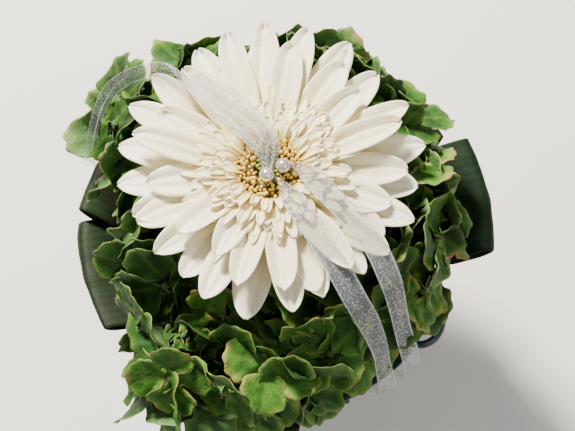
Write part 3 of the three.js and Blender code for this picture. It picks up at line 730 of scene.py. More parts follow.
hydrangea_tree, given, end = geometry_tree("head of florets", {
    **{f"Floret {kind}": "Object" for kind in range(KINDS)},
    "Lean": "Float", "Least": "Float", "Seed": "Int", "Material": "Material"})
facing = add(hydrangea_tree, "GeometryNodeInputNamedAttribute", {"Name": "facing"}, data_type="FLOAT_VECTOR")
depth = add(hydrangea_tree, "GeometryNodeInputNamedAttribute", {"Name": "depth"})
seeds = [add(hydrangea_tree, "ShaderNodeMath", (given["Seed"], k), operation="ADD") for k in range(5)]
upright = add(hydrangea_tree, "FunctionNodeAlignRotationToVector", {"Vector": facing}, axis="Z")
tumble = add(hydrangea_tree, "FunctionNodeRandomValue", {2: -1.0, 3: 1.0, 8: seeds[0]}).outputs[1]
tumble = add(hydrangea_tree, "ShaderNodeMath", (tumble, given["Lean"]), operation="MULTIPLY")
nod = add(hydrangea_tree, "FunctionNodeRandomValue", {2: -1.0, 3: 1.0, 8: seeds[1]}).outputs[1]
nod = add(hydrangea_tree, "ShaderNodeMath", (nod, given["Lean"]), operation="MULTIPLY")
spin = add(hydrangea_tree, "FunctionNodeRandomValue", {2: 0.0, 3: 6.28, 8: seeds[2]}).outputs[1]
tumble = add(hydrangea_tree, "ShaderNodeCombineXYZ", {0: tumble, 1: nod, 2: spin})
tumble = add(hydrangea_tree, "FunctionNodeEulerToRotation", {0: tumble})
turned = add(hydrangea_tree, "FunctionNodeRotateRotation", {
    "Rotation": upright, "Rotate By": tumble}, rotation_space="LOCAL")
kinds = add(hydrangea_tree, "GeometryNodeJoinGeometry")
for kind in range(KINDS):
    source = add(hydrangea_tree, "GeometryNodeObjectInfo", (given[f"Floret {kind}"], True))
    hydrangea_tree.links.new(source.outputs["Geometry"], kinds.inputs[0])
which = {4: 0, 5: KINDS - 1, 8: seeds[3]}
which = add(hydrangea_tree, "FunctionNodeRandomValue", which, data_type="INT").outputs[2]
size = add(hydrangea_tree, "FunctionNodeRandomValue", {2: given["Least"], 3: 1.04, 8: seeds[3]}).outputs[1]
florets = add(hydrangea_tree, "GeometryNodeInstanceOnPoints", {
    "Points": given["Geometry"], "Instance": kinds, "Pick Instance": True, "Instance Index": which,
    "Rotation": turned, "Scale": size})
own = add(hydrangea_tree, "FunctionNodeRandomValue", {2: 0.0, 3: 1.0, 8: seeds[4]}).outputs[1]
florets = add(hydrangea_tree, "GeometryNodeStoreNamedAttribute", {
    "Geometry": florets, "Name": "petal_seed", "Value": own}, domain="INSTANCE")
# Marks the florets of the inner layer, which the sepal material darkens with painted shade.
florets = add(hydrangea_tree, "GeometryNodeStoreNamedAttribute", {
    "Geometry": florets, "Name": "inside", "Value": depth}, domain="INSTANCE")
finished(hydrangea_tree, florets, given["Material"], end)

branching, given, end = geometry_tree("branching stalks", {"Radius": "Float", "Material": "Material"})
lines = add(branching, "GeometryNodeMeshToCurve", {0: given["Geometry"]})
ring = {"Resolution": 7, "Radius": given["Radius"]}
ring = add(branching, "GeometryNodeCurvePrimitiveCircle", ring)
tubes = add(branching, "GeometryNodeCurveToMesh", {"Curve": lines, "Profile Curve": ring, "Fill Caps": True})
finished(branching, tubes, given["Material"], end)

# Hydrangea sepal: leathery green bract, matt, with sunken veins. The edge is yellower, the back is
# paler and bluish, the inner ones are darkened with painted shade, and a few edges are dry and brown or
# have caught red.
sepal_green, tree, shader = new_material("green hydrangea sepal", Roughness=0.6, Specular_IOR_Level=0.18)
where = add(tree, "ShaderNodeTexCoord").outputs["Object"]
margin = add(tree, "ShaderNodeAttribute", attribute_name="margin").outputs["Fac"]
vein = add(tree, "ShaderNodeAttribute", attribute_name="vein").outputs["Fac"]
own = add(tree, "ShaderNodeAttribute", attribute_name="petal_seed").outputs["Fac"]
upper = add(tree, "ShaderNodeAttribute", attribute_name="upper").outputs["Fac"]
inside = add(tree, "ShaderNodeAttribute", attribute_name="inside").outputs["Fac"]
mottle = add(tree, "ShaderNodeTexNoise", {"Vector": where, "Scale": 130.0, "Detail": 4.0}).outputs["Fac"]
tone = add(tree, "ShaderNodeMath", (own, 0.5), operation="SUBTRACT")
tone = add(tree, "ShaderNodeMath", (tone, 0.4), operation="MULTIPLY")
tone = add(tree, "ShaderNodeMath", (mottle, tone), operation="ADD")
outer = add(tree, "ShaderNodeMath", (margin, 2.0), operation="POWER")
outer = add(tree, "ShaderNodeMath", (outer, 0.34), operation="MULTIPLY")
tone = add(tree, "ShaderNodeMath", (tone, outer), operation="ADD")
body = add(tree, "ShaderNodeValToRGB", (tone,), stops=(
    (0.3, "#0e2908"), (0.55, "#1e4612"), (0.8, "#3c6a20"), (1.0, "#6a8a38")))
edge = add(tree, "ShaderNodeMath", (margin, 14.0), operation="POWER")
edge = add(tree, "ShaderNodeMath", (edge, 0.24), operation="MULTIPLY")
body = add(tree, "ShaderNodeMix", {0: edge, 6: body, 7: linear("#a9a866")}, data_type="RGBA").outputs[2]
vein = add(tree, "ShaderNodeMath", (vein, 0.16), operation="MULTIPLY")
body = add(tree, "ShaderNodeMix", {0: vein, 6: body, 7: linear("#8da850")}, data_type="RGBA").outputs[2]
dry = add(tree, "ShaderNodeMath", (mottle, 0.5), operation="GREATER_THAN")
at_edge = add(tree, "ShaderNodeMath", (margin, 9.0), operation="POWER")
dry = add(tree, "ShaderNodeMath", (dry, at_edge), operation="MULTIPLY")
age = add(tree, "ShaderNodeMath", (own, 2.0), operation="POWER")
dry = add(tree, "ShaderNodeMath", (dry, age), operation="MULTIPLY")
dry = add(tree, "ShaderNodeMath", (dry, 0.8), operation="MULTIPLY")
body = add(tree, "ShaderNodeMix", {0: dry, 6: body, 7: linear("#a3664a")}, data_type="RGBA").outputs[2]
blush = add(tree, "ShaderNodeMath", (own, 0.95), operation="GREATER_THAN")
patch = add(tree, "ShaderNodeMath", (mottle, 0.56), operation="GREATER_THAN")
blush = add(tree, "ShaderNodeMath", (blush, patch), operation="MULTIPLY")
at_edge = add(tree, "ShaderNodeMath", (margin, 7.0), operation="POWER")
blush = add(tree, "ShaderNodeMath", (blush, at_edge), operation="MULTIPLY")
body = add(tree, "ShaderNodeMix", {0: blush, 6: body, 7: linear("#b3202c")}, data_type="RGBA").outputs[2]
below = add(tree, "ShaderNodeMath", (1.0, upper), operation="SUBTRACT")
below = add(tree, "ShaderNodeMath", (below, 0.4), operation="MULTIPLY")
body = add(tree, "ShaderNodeMix", {0: below, 6: body, 7: linear("#6f9160")}, data_type="RGBA").outputs[2]
# Painted shade: the florets of the inner layer are darkened to deep green, for the shade deep inside the
# head.
shade = add(tree, "ShaderNodeMath", (inside, 0.8), operation="MULTIPLY")
body = add(tree, "ShaderNodeMix", {0: shade, 6: body, 7: linear("#12300b")}, data_type="RGBA").outputs[2]
feed(tree, body, shader.inputs["Base Color"])
bent = add(tree, "ShaderNodeTexNoise", {"Vector": where, "Scale": 250.0, "Detail": 2.0}).outputs["Color"]
bent = add(tree, "ShaderNodeVectorMath", {0: bent, "Scale": 0.004}, operation="SCALE")
bent = add(tree, "ShaderNodeVectorMath", {0: where, 1: bent}, operation="ADD")
quilt = add(tree, "ShaderNodeTexVoronoi", {"Vector": bent, "Scale": 480.0}, feature="DISTANCE_TO_EDGE")
quilt = add(tree, "ShaderNodeMath", (quilt.outputs["Distance"], 0.3), operation="MINIMUM")
bump = add(tree, "ShaderNodeBump", {"Strength": 0.4, "Distance": 0.0008, "Height": quilt})
feed(tree, bump, shader.inputs["Normal"])

# Thin flower stalks inside a head: smooth pale green.
stalk_green, tree, shader = new_material("hydrangea flower stalk", Roughness=0.5)
where = add(tree, "ShaderNodeTexCoord").outputs["Object"]
mottle = add(tree, "ShaderNodeTexNoise", {"Vector": where, "Scale": 220.0, "Detail": 2.0}).outputs["Fac"]
body = add(tree, "ShaderNodeValToRGB", (mottle,), stops=((0.35, "#5f7f3a"), (0.65, "#86a055")))
feed(tree, body, shader.inputs["Base Color"])

HEAD_RADII = (23, 35, 26)  # outwards, round the dome and upwards
HEAD_HEIGHT = 157
HEAD_REACHES = [51, 46, 44, 44, 29]  # fuller at the front and on the right
HEAD_HALF_WEDGE = 40  # degrees, where one head's florets meet the next one's
SCAPE_ROOM = 20  # no floret is nearer to the gerbera's stem
CEILING, CEILING_EDGE = 175, 62  # the florets keep under the petals, and may rise beyond their tips
FLOOR, INNER_FLOOR = 134, 145  # the lowest outer and inner florets
BULGES = ((231, 0.4), (152, 0.2))  # loose florets hang out at the front left and the back left
FRONT_LIMIT = -74


def floret_spots(azimuth, reach, seed):
    """Where one head's florets sit, which way they face and how deep they are, in millimetres."""
    dice = random.Random(seed)
    ca, sa = math.cos(math.radians(azimuth)), math.sin(math.radians(azimuth))
    spots = []
    for count, scale, depth in ((33, 1.0, 0.0), (16, 0.66, 1.0)):
        for k in range(count):
            polar = math.acos(1 - 1.84 * (k + 0.5) / count)
            spin = k * GOLDEN_ANGLE + seed
            d = Vector((math.cos(spin) * math.sin(polar), math.sin(spin) * math.sin(polar), math.cos(polar)))
            grow_by = scale * dice.uniform(0.9, 1.04)
            local = Vector((d.x * HEAD_RADII[0], d.y * HEAD_RADII[1], d.z * HEAD_RADII[2])) * grow_by
            local.x += reach
            facing = Vector((d.x / HEAD_RADII[0], d.y / HEAD_RADII[1], d.z / HEAD_RADII[2])).normalized()
            facing = (facing + Vector((0.25, 0, 0.25))).normalized()
            r = math.hypot(local.x, local.y)
            z = local.z + HEAD_HEIGHT
            if abs(local.y) > local.x * math.tan(math.radians(HEAD_HALF_WEDGE)) + 2 or r < SCAPE_ROOM:
                continue
            ceiling = CEILING + 0.5 * max(0, r - CEILING_EDGE)
            if z > ceiling:
                z = ceiling - dice.uniform(0, 4)
                facing = (facing + Vector((0.9, 0, 0.1))).normalized()
            if z < FLOOR or depth and z < INNER_FLOOR:
                continue
            place = Vector((local.x * ca - local.y * sa, local.x * sa + local.y * ca, z))
            turn = math.atan2(place.y, place.x)
            bulge = 1 + sum(share * max(0, math.cos(turn - math.radians(way))) ** 14 for way, share in BULGES)
            place = Vector((place.x * bulge, max(place.y * bulge, FRONT_LIMIT), z - 25 * (bulge - 1)))
            facing = Vector((facing.x * ca - facing.y * sa, facing.x * sa + facing.y * ca, facing.z))
            spots.append((place, facing, depth))
    return spots


for i, (azimuth, reach) in enumerate(zip(HEAD_AZIMUTHS, HEAD_REACHES), 1):
    spots = floret_spots(azimuth, reach, 3 * i)
    origin = Vector((AXIS_X, AXIS_Y, 0))
    cloud = bpy.data.meshes.new(f"floret_places_{i}")
    cloud.from_pydata([tuple(place * MM + origin) for place, facing, depth in spots], [], [])
    facings = [component for place, facing, depth in spots for component in facing]
    cloud.attributes.new("facing", "FLOAT_VECTOR", "POINT").data.foreach_set("vector", facings)
    depths = [depth for place, facing, depth in spots]
    cloud.attributes.new("depth", "FLOAT", "POINT").data.foreach_set("value", depths)
    head = grow(f"hydrangea_florets_{i}", hydrangea_tree, {
        **{f"Floret {kind}": source for kind, source in enumerate(floret_kinds)},
        "Lean": 0.7, "Least": 0.75, "Seed": 100 * i, "Material": sepal_green}, cloud)
    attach(head, "root")
    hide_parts(f"hydrangea_head_{i}")
    neck = Vector(spiral_line(*WOODY_SPIRAL, azimuth, 3)[-1]) - Vector((0, 0, 1 * MM))
    vertices, edges = [], []
    for place, facing, depth in spots:
        end_point = place * MM + origin - facing * 1.2 * MM
        middle = neck.lerp(end_point, 0.5) + Vector((0, 0, -3 * MM)) - facing * 3 * MM
        for step in range(7):
            t = step / 6
            vertices.append(tuple(neck * (1 - t) ** 2 + middle * 2 * t * (1 - t) + end_point * t * t))
            if step:
                edges.append((len(vertices) - 2, len(vertices) - 1))
    web = bpy.data.meshes.new(f"stalk_lines_{i}")
    web.from_pydata(vertices, edges, [])
    stalks = grow(f"hydrangea_flower_stalks_{i}", branching, {
        "Radius": 0.75 * MM, "Material": stalk_green}, web)
    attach(stalks, "root")

# ---------------------------------------------------------------- aspidistra collar
# Long leathery leaves, each doubled back under itself to make a stiff rounded edge under the flowers.
# The blade is ribbed from end to end by parallel veins, dark and waxy, and olive on its hidden side.


def smooth_path(corners, count):
    """Even steps along a smooth curve through points: the steps, the way along each, and the length."""
    corners = np.asarray(corners, dtype=float)
    ends = np.vstack([2 * corners[0] - corners[1], corners, 2 * corners[-1] - corners[-2]])
    pieces = []
    for p0, p1, p2, p3 in zip(ends[:-3], ends[1:-2], ends[2:-1], ends[3:]):
        t = np.linspace(0, 1, 24, endpoint=False)[:, None]
        pieces.append(0.5 * (2 * p1 + (p2 - p0) * t + (2 * p0 - 5 * p1 + 4 * p2 - p3) * t ** 2
                             + (3 * p1 - p0 - 3 * p2 + p3) * t ** 3))
    dense = np.vstack(pieces + [corners[-1:]])
    travelled = np.concatenate([[0], np.cumsum(np.linalg.norm(np.diff(dense, axis=0), axis=1))])
    even = np.linspace(0, travelled[-1], count)
    points = np.stack([np.interp(even, travelled, dense[:, k]) for k in range(dense.shape[1])], axis=1)
    tangent = np.gradient(points, axis=0)
    return points, tangent / np.linalg.norm(tangent, axis=1, keepdims=True), travelled[-1]


# Aspidistra leaf: thick waxy skin over parallel veins. Deep bottle green with slightly lighter stripes,
# and some leaves are browner than others.
leaf_green, tree, shader = new_material("aspidistra leaf", Roughness=0.56, Specular_IOR_Level=0.14)
where = add(tree, "ShaderNodeTexCoord").outputs["Object"]
stripe = add(tree, "ShaderNodeAttribute", attribute_name="stripe").outputs["Fac"]
own = add(tree, "ShaderNodeAttribute", attribute_name="tint").outputs["Fac"]
upper = add(tree, "ShaderNodeAttribute", attribute_name="upper").outputs["Fac"]
mottle = add(tree, "ShaderNodeTexNoise", {"Vector": where, "Scale": 60.0, "Detail": 4.0}).outputs["Fac"]
tone = add(tree, "ShaderNodeMath", (stripe, 0.22), operation="MULTIPLY")
mottle = add(tree, "ShaderNodeMath", (mottle, 0.72), operation="MULTIPLY")
tone = add(tree, "ShaderNodeMath", (tone, mottle), operation="ADD")
body = add(tree, "ShaderNodeValToRGB", (tone,), stops=(
    (0.25, "#07160a"), (0.55, "#0d2512"), (0.85, "#1a381b")))
body = add(tree, "ShaderNodeMix", {0: own, 6: body, 7: linear("#2e2a14")}, data_type="RGBA").outputs[2]
inner = add(tree, "ShaderNodeMath", (upper, 0.35), operation="MULTIPLY")
body = add(tree, "ShaderNodeMix", {0: inner, 6: body, 7: linear("#33401f")}, data_type="RGBA").outputs[2]
feed(tree, body, shader.inputs["Base Color"])
fine = add(tree, "ShaderNodeTexNoise", {"Vector": where, "Scale": 500.0, "Detail": 3.0}).outputs["Fac"]
bump = add(tree, "ShaderNodeBump", {"Strength": 0.25, "Distance": 0.0004, "Height": fine})
feed(tree, bump, shader.inputs["Normal"])

LEAF_INNER, LEAF_LOW, LEAF_SLOPE = 28, 108, 0.36  # where the blade starts, and its rise for each mm out
LEAF_FOLD, LEAF_TUCK = 3, 55  # the fold's radius, and how far in the folded end comes back
LEAF_VEINS = 9
LEAF_THICKNESS = 0.55


def over(r):
    """The height of a leaf's upper layer at a radius, in millimetres."""
    return LEAF_LOW + (r - LEAF_INNER) * LEAF_SLOPE


def under(r):
    """The height of its folded lower layer."""
    return over(r) - 2 * LEAF_FOLD - 1.5


for i, (azimuth, reach) in enumerate(LEAVES, 1):
    dice = random.Random(50 + i)
    corners = [
        (LEAF_INNER, over(LEAF_INNER)), (LEAF_INNER + 20, over(LEAF_INNER + 20)),
        (reach - 22, over(reach - 22)), (reach - 6, over(reach - 6)), (reach - 0.8, over(reach) - LEAF_FOLD),
        (reach - 6, under(reach - 6)), (reach - 22, under(reach - 22)), (LEAF_TUCK, under(LEAF_TUCK))]
    line, tangent, _ = smooth_path(corners, 56)
    u = np.linspace(-1, 1, 61)[None, :]
    t = np.linspace(0, 1, 56)[:, None]
    r = line[:, :1]
    half = 4 + 20 * settle((r - LEAF_INNER) / (reach - LEAF_INNER - 16)) ** 0.8
    half = half * (1 - 0.1 * settle((t - 0.8) / 0.2))
    normal = np.stack([-tangent[:, 1], tangent[:, 0]], axis=1)
    uneven = u + 0.05 * np.sin(5 * u + i)
    ribs = np.cos(uneven * 2 * np.pi * LEAF_VEINS)
    pleat = 0.02 * ribs + 0.14 * np.cos(u * 7 + i + np.sin(3 * u)) + 0.05 * np.cos(u * 15 + 2 * i)
    sway = dice.uniform(0.6, 1.2) * np.sin(2.2 * u + dice.uniform(0, 6)) * settle((r - 35) / 30)
    ruck = dice.uniform(0.3, 0.8) * np.sin(t * 19 + 2.5 * u + dice.uniform(0, 6)) * u ** 2
    roll = 3.0 * u * settle((r - 40) / 30)
    lift = pleat * settle(half / 16) + sway * 0.6 + ruck
    radial = line[:, :1] + normal[:, :1] * lift - 3.5 * u ** 2 * settle((r - reach + 30) / 30)
    height = line[:, 1:] + normal[:, 1:] * lift + roll
    side = u * half
    ca, sa = math.cos(math.radians(azimuth)), math.sin(math.radians(azimuth))
    points = np.stack([
        radial * ca - side * sa + AXIS_X / MM, radial * sa + side * ca + AXIS_Y / MM,
        height + 0 * side], axis=-1)
    stripe = 0.5 + 0.5 * ribs + 0 * t
    tint = dice.uniform(0, 0.3) + 0 * stripe
    leaf = blade_mesh(f"folded_leaf_{i}", points, LEAF_THICKNESS, stripe=stripe, tint=tint)
    add_piece(f"folded_leaf_{i}", leaf, leaf_green, "leaf_green", f"aspidistra_leaf_{i}")

# ---------------------------------------------------------------- bent leaf stalk
# One leaf stalk with no blade showing, bent round over the collar and tucked in under the flowers.
# Its green is painted over with shade and a bluish reflection of the sky, which makes it dark slate.

painted_shade_stalk, tree, shader = new_material("leaf stalk in painted shade", Roughness=0.35)
where = add(tree, "ShaderNodeTexCoord").outputs["Object"]
mottle = add(tree, "ShaderNodeTexNoise", {"Vector": where, "Scale": 90.0, "Detail": 4.0}).outputs["Fac"]
# Painted shade and painted reflection: a dark slate blue stands in for a green stalk in shade that reflects
# the sky.
body = add(tree, "ShaderNodeValToRGB", (mottle,), stops=((0.3, "#141d29"), (0.7, "#27364a")))
feed(tree, body, shader.inputs["Base Color"])
bent = [  # radius, azimuth and height
    (44, -20, 102), (58, -20, 108), (69, -21.5, 116), (76, -25, 123.5), (79.5, -30, 128), (80, -35, 129.5),
    (77, -39, 129), (70, -41, 127.5), (62, -42, 125)]


def from_axis(r, azimuth, z):
    """A point in metres from its radius, azimuth and height in millimetres and degrees."""
    angle = math.radians(azimuth)
    return (AXIS_X + r * math.cos(angle) * MM, AXIS_Y + r * math.sin(angle) * MM, z * MM)


BENT_RADIUS = 1.65 * MM
line, _, _ = smooth_path([from_axis(*point) for point in bent], 60)
add_piece("bent_stalk", rod_mesh("bent_stalk", line.tolist(), [BENT_RADIUS] * 60, 16, 3, 0.06), painted_shade_stalk,
          "leaf_green", "bent_leaf_stalk")

# ---------------------------------------------------------------- organza ribbon
# Sheer woven nylon ribbon with painted glints and a tighter selvedge. Each strand is gathered under
# its pin, spreads over the petals, falls over the dome and the collar, and runs in to the tie.

# Organza: fine stiff threads with open gaps, so it is mostly see-through, with glints painted on the threads
# as white specks.
# The real threads are 0.15 mm apart; they are drawn at 0.5 mm so that they show.
THREAD = 0.5
organza, tree, shader = new_material("organza", Roughness=0.3, Metallic=0.1, Sheen_Weight=0.4)
across = add(tree, "ShaderNodeAttribute", attribute_name="across").outputs["Fac"]
length_way = add(tree, "ShaderNodeAttribute", attribute_name="length_way").outputs["Fac"]
weave = add(tree, "ShaderNodeMath", (across, 2 * math.pi / THREAD), operation="MULTIPLY")
weave = add(tree, "ShaderNodeMath", (weave,), operation="SINE")
weft = add(tree, "ShaderNodeMath", (length_way, 2 * math.pi / THREAD), operation="MULTIPLY")
weft = add(tree, "ShaderNodeMath", (weft,), operation="SINE")
weave = add(tree, "ShaderNodeMath", (weave, weft), operation="ADD")
weave = add(tree, "ShaderNodeMath", (weave, 0.25), operation="MULTIPLY")
where = add(tree, "ShaderNodeTexCoord").outputs["Object"]
# Painted glints: scattered cells are painted white and made nearly opaque, standing in for light catching the
# threads.
painted_glint = add(tree, "ShaderNodeTexVoronoi", {"Vector": where, "Scale": 4200.0}).outputs["Color"]
painted_glint = add(tree, "ShaderNodeSeparateColor", {0: painted_glint})
painted_glint = add(tree, "ShaderNodeMath", (painted_glint, 0.96), operation="GREATER_THAN")
cover = add(tree, "ShaderNodeMath", (weave, 0.16), operation="MULTIPLY")
cover = add(tree, "ShaderNodeMath", (0.24, cover), operation="ADD")
solid = add(tree, "ShaderNodeMath", (painted_glint, 0.6), operation="MULTIPLY")
cover = add(tree, "ShaderNodeMath", (cover, solid), operation="ADD")
feed(tree, cover, shader.inputs["Alpha"])
body = add(tree, "ShaderNodeMath", (weave, 0.5), operation="ADD")
body = add(tree, "ShaderNodeValToRGB", (body,), stops=((0.0, "#747c88"), (1.0, "#c3c7cd")))
body = add(tree, "ShaderNodeMix", {0: painted_glint, 6: body, 7: linear("#ffffff")}, data_type="RGBA").outputs[2]
feed(tree, body, shader.inputs["Base Color"])
bump = add(tree, "ShaderNodeBump", {"Strength": 0.4, "Distance": 0.0002, "Height": weave})
feed(tree, bump, shader.inputs["Normal"])

# The selvedge: the same yarn, woven close, so it looks almost solid.
selvedge, tree, shader = new_material("organza selvedge", Roughness=0.35, Metallic=0.1, Alpha=0.5)
where = add(tree, "ShaderNodeTexCoord").outputs["Object"]
# Painted glints on the selvedge: a fine noise paints bright specks into its colour.
painted_glint = add(tree, "ShaderNodeTexNoise", {"Vector": where, "Scale": 1500.0, "Detail": 1.0}).outputs["Fac"]
body = add(tree, "ShaderNodeValToRGB", (painted_glint,), stops=((0.4, "#a9b1bd"), (0.62, "#f4f6fa")))
feed(tree, body, shader.inputs["Base Color"])

RIBBON_THICKNESS = 0.14
SELVEDGE_WIDTH = 0.7
PIN_HOLD = 4.4  # where a pin holds its strand, over the gerbera's face
STRANDS = {
    # The pin's place, the cut width, how wide it spreads and how far it stands on edge over the dome, then
    # the radius, azimuth and height over the gerbera's face of the points that the strand passes.
    "ribbon_back_left": ((-0.7, -4.0), 12, 1.0, 0.95, [
        (2, 100, 4.6), (7, 100, 7), (15, 113, 7.4), (28, 124, 6.6), (44, 130, 4), (56, 134, 0), (64, 141, -4),
        (69, 148, -9), (71, 155, -17), (72, 161, -28), (75, 161, -43), (81, 158, -58), (84, 155, -72),
        (77, 154, -85), (60, 154, -98), (40, 154, -109), (27, 154, -116), (21.6, 154, -121)]),
    "ribbon_front_left": ((0.2, -4.8), 10, 0.86, 0.0, [
        (6, -60, 4.2), (13, -56, 5.4), (28, -57, 6), (44, -57, 3.2), (57, -57, -4), (65, -56, -15),
        (72, -55.5, -30), (76, -55.5, -45), (79.5, -55.5, -59), (81, -55.5, -72), (75, -56, -86),
        (58, -60, -100), (40, -64, -110), (27, -68, -116), (21.6, -70, -121)]),
    "ribbon_front_right": ((5.4, -1.4), 10, 0.86, 0.0, [
        (8.4, -2, 5.8), (14, -14, 7.4), (27, -30, 6.6), (45, -37, 3.4), (58, -42.5, -4), (66, -45.5, -14),
        (73, -47, -29), (77.5, -47, -45), (80, -47, -59), (81, -47, -72), (75, -46.5, -86), (58, -43, -100),
        (40, -38, -110), (27, -35, -116), (21.6, -34, -121)]),
}


def ribbon_surface(pinch, width, fullness, on_edge, path, seed):
    """A strand as a grid of points in millimetres, gathered at its pin, with its real length."""
    corners = [[pinch[0], pinch[1], FACE / MM + PIN_HOLD]]
    for r, azimuth, z in path:
        angle = math.radians(azimuth)
        corners.append([r * math.cos(angle), r * math.sin(angle), FACE / MM + z])
    line, tangent, length = smooth_path(corners, 150)
    t = np.linspace(0, 1, 150)[:, None]
    u = np.linspace(-1, 1, 17)[None, :]
    radial = line * [1, 1, 0]
    radial[:, :2] += 1e-6
    level = np.stack([-radial[:, 1], radial[:, 0], 0 * radial[:, 0]], axis=1)
    level[:6] = level[6]
    level = level - tangent * np.sum(level * tangent, axis=1, keepdims=True)
    level /= np.linalg.norm(level, axis=1, keepdims=True)
    upright = np.array([0, 0, 1]) - tangent * tangent[:, 2:]
    upright /= np.linalg.norm(upright, axis=1, keepdims=True)
    upright *= np.sign(np.sum(upright * level, axis=1, keepdims=True))
    edgewise = on_edge * settle((t - 0.17) / 0.09) * (1 - settle((t - 0.36) / 0.1))
    level = level * (1 - edgewise) + upright * edgewise
    level /= np.linalg.norm(level, axis=1, keepdims=True)
    out = np.cross(tangent, level)
    spread = 0.2 + 0.8 * settle(t * length / 15)
    spread = spread * (1 - 0.12 * settle((t - 0.25) / 0.15)) + 0.06 * np.sin(t * 14 + seed)
    half = width / 2 * fullness * np.clip(spread, 0.16, 1) * (1 - 0.3 * settle((t - 0.92) / 0.08))
    fold = 0.55 * np.sin(u * 5 + 3 * np.sin(t * 6 + seed)) + 0.5 * np.sin(t * 24 + 2 * u + seed) * u
    fold = fold * settle(t * 14) * settle((1 - t) * 14)
    pinched = (1 - settle(t * length / 16)) * 0.8 * np.cos(u * 3 * np.pi)
    lift = (fold + pinched)[:, :, None]
    points = line[:, None, :] + level[:, None, :] * (u * half)[:, :, None] + out[:, None, :] * lift
    points = points + [AXIS_X / MM, AXIS_Y / MM, 0]
    return points, width / 2 * u + 0 * t, t * length + 0 * u, length


for name, (pinch, width, fullness, on_edge, path) in STRANDS.items():
    points, across, length_way, length = ribbon_surface(
        pinch, width, fullness, on_edge, path, len(name) * 1.7)
    mesh = blade_mesh(name + "_cloth", points, RIBBON_THICKNESS, across=across, length_way=length_way)
    piece = add_piece(name + "_cloth", mesh, organza, "organza", name)
    mesh.materials.append(selvedge)
    marks = np.zeros(len(mesh.vertices), dtype=np.float32)
    mesh.attributes["across"].data.foreach_get("value", marks)
    for face in mesh.polygons:
        if min(abs(marks[v]) for v in face.vertices) > width / 2 - SELVEDGE_WIDTH:
            face.material_index = 1

# ---------------------------------------------------------------- pins and pearls
# Corsage pins: bright steel wire with a round pearl head, pushed through the ribbon into the eye.

# Imitation pearl: nacre lacquer over a round bead, with a soft deep gloss that is cream and faintly pink.
nacre, tree, shader = new_material(
    "pearl lacquer", Roughness=0.22, Metallic=0.65, Coat_Weight=1.0, Coat_Roughness=0.05)
where = add(tree, "ShaderNodeTexCoord").outputs["Object"]
swirl = add(tree, "ShaderNodeTexNoise", {"Vector": where, "Scale": 260.0, "Distortion": 1.5}).outputs["Fac"]
body = add(tree, "ShaderNodeValToRGB", (swirl,), stops=(
    (0.35, "#c9bba8"), (0.5, "#e9dfce"), (0.65, "#c3b7b2")))
feed(tree, body, shader.inputs["Base Color"])

# Drawn steel wire: bright, with faint marks from the die.
wire, tree, shader = new_material("bright steel wire", Metallic=1.0, Roughness=0.22)
where = add(tree, "ShaderNodeTexCoord").outputs["Object"]
drawn = add(tree, "ShaderNodeTexNoise", {"Vector": where, "Scale": 2500.0}).outputs["Fac"]
body = add(tree, "ShaderNodeValToRGB", (drawn,), stops=((0.3, "#a9adb2"), (0.7, "#cfd2d6")))
feed(tree, body, shader.inputs["Base Color"])

for label in ("front", "back"):
    low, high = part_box(f"pearl_{label}")
    middle = [(a + b) / 2 for a, b in zip(low, high)]
    radius = (high[2] - low[2]) / 2 / MM
    rows = [(radius * math.sin(math.pi * k / 24), -radius * math.cos(math.pi * k / 24)) for k in range(25)]
    rows[0] = (0.5, -radius * 0.985)
    rows[-1] = (0.02, radius)
    mesh = lathe_mesh(f"pearl_bead_{label}", rows, 40)
    mesh.transform(Matrix.Translation(middle))
    add_piece(f"pearl_bead_{label}", mesh, nacre, "pearl", f"pearl_{label}")
    repaint(f"pin_{label}", wire)

# ---------------------------------------------------------------- twine and the ribbon round the tie
# The stems are bound with several close turns of three-ply jute twine. A length of the organza covers
# the middle of it and ends in a knot at the front.

# Jute: dull fibres twisted into plies, with pale hairs on top of a darker core.
jute, tree, shader = new_material("jute twine", Roughness=0.9, Sheen_Weight=0.3)
where = add(tree, "ShaderNodeTexCoord").outputs["Object"]
fibres = add(tree, "ShaderNodeTexNoise", {"Vector": where, "Scale": 1400.0, "Detail": 3.0}).outputs["Fac"]
body = add(tree, "ShaderNodeValToRGB", (fibres,), stops=((0.32, "#7a6138"), (0.68, "#bda274")))
feed(tree, body, shader.inputs["Base Color"])
bump = add(tree, "ShaderNodeBump", {"Strength": 0.7, "Distance": 0.0003, "Height": fibres})
feed(tree, bump, shader.inputs["Normal"])

twine_low, twine_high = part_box("binding_twine")
band_radius = (twine_high[0] - twine_low[0]) / 2 - 1.0 * MM
TURNS, PLIES, TWISTS = 9, 3, 14  # turns round the stems, plies, and twists of the plies in each turn
TURN_STEPS = 90
PLY_RADIUS, LAY_RADIUS = 0.58 * MM, 0.5 * MM
pitch = (twine_high[2] - twine_low[2] - 2 * MM) / TURNS
plies = []
for ply in range(PLIES):
    points = []
    count = TURNS * TURN_STEPS
    for k in range(count):
        turn = 2 * math.pi * k / TURN_STEPS
        lay = turn * TWISTS + ply * 2 * math.pi / PLIES
        r = band_radius + LAY_RADIUS * math.cos(lay)
        z = twine_low[2] + 1 * MM + pitch * k / TURN_STEPS + LAY_RADIUS * math.sin(lay)
        points.append((AXIS_X + r * math.cos(turn), AXIS_Y + r * math.sin(turn), z))
    plies.append(rod_mesh("ply", points, [PLY_RADIUS] * count, 6))
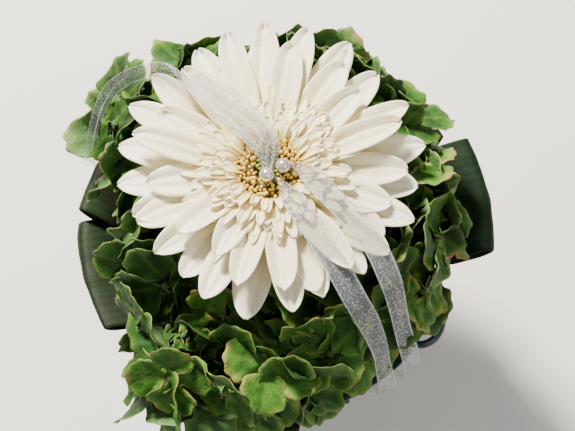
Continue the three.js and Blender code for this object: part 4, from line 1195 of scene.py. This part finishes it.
add_piece("twine_turns", join_meshes("twine_turns", plies), jute, "twine", "binding_twine")

WRAP_WIDTH = 10
wrap_low, wrap_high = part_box("ribbon_wrap")
wrap_radius = (wrap_high[0] - wrap_low[0]) / 2 / MM - 0.3
angle = np.linspace(0, 2 * np.pi, 160)[:, None]
u = np.linspace(-1, 1, 21)[None, :]
tuck = 0.25 * np.cos(u * 9 + 1.5 * np.sin(angle * 2)) + 0.15 * np.sin(angle * 6 + 3 * u) + 0.06 * angle / 6.28
height = (wrap_low[2] + wrap_high[2]) / 2 / MM + u * (4.6 + 0.3 * np.sin(angle * 3)) + 0 * angle
points = np.stack([
    (wrap_radius + tuck) * np.cos(angle) + AXIS_X / MM, (wrap_radius + tuck) * np.sin(angle) + AXIS_Y / MM,
    height], axis=-1)
wrap_mesh = blade_mesh(
    "ribbon_turn", points, 0.2, across=WRAP_WIDTH / 2 * u + 0 * angle, length_way=angle * wrap_radius + 0 * u)
wrap = add_piece("ribbon_turn", wrap_mesh, organza, "organza", "ribbon_wrap")

knot_low, knot_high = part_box("ribbon_knot")
knot_middle = np.array([(a + b) / 2 / MM for a, b in zip(knot_low, knot_high)])
theta = np.linspace(0, 2 * np.pi, 48)[:, None]
phi = np.linspace(0.12, np.pi - 0.12, 22)[None, :]
crease = 1 + 0.09 * np.cos(7 * phi + 2 * np.sin(theta)) + 0.05 * np.sin(3 * theta + 4 * phi)
turn = math.radians(-52)  # the knot faces the front right
kx = 3.0 * crease * np.sin(phi) * np.cos(theta)
ky = 4.6 * crease * np.cos(phi) + 0 * theta
kz = 3.7 * crease * np.sin(phi) * np.sin(theta)
points = np.stack([
    kx * math.cos(turn) - ky * math.sin(turn) + knot_middle[0],
    kx * math.sin(turn) + ky * math.cos(turn) + knot_middle[1], kz + knot_middle[2]], axis=-1)
knot_mesh = blade_mesh("knot_of_ribbon", points, 0.3, across=ky, length_way=theta * 4 + 0 * phi)
add_piece("knot_of_ribbon", knot_mesh, organza, "organza", "ribbon_knot")
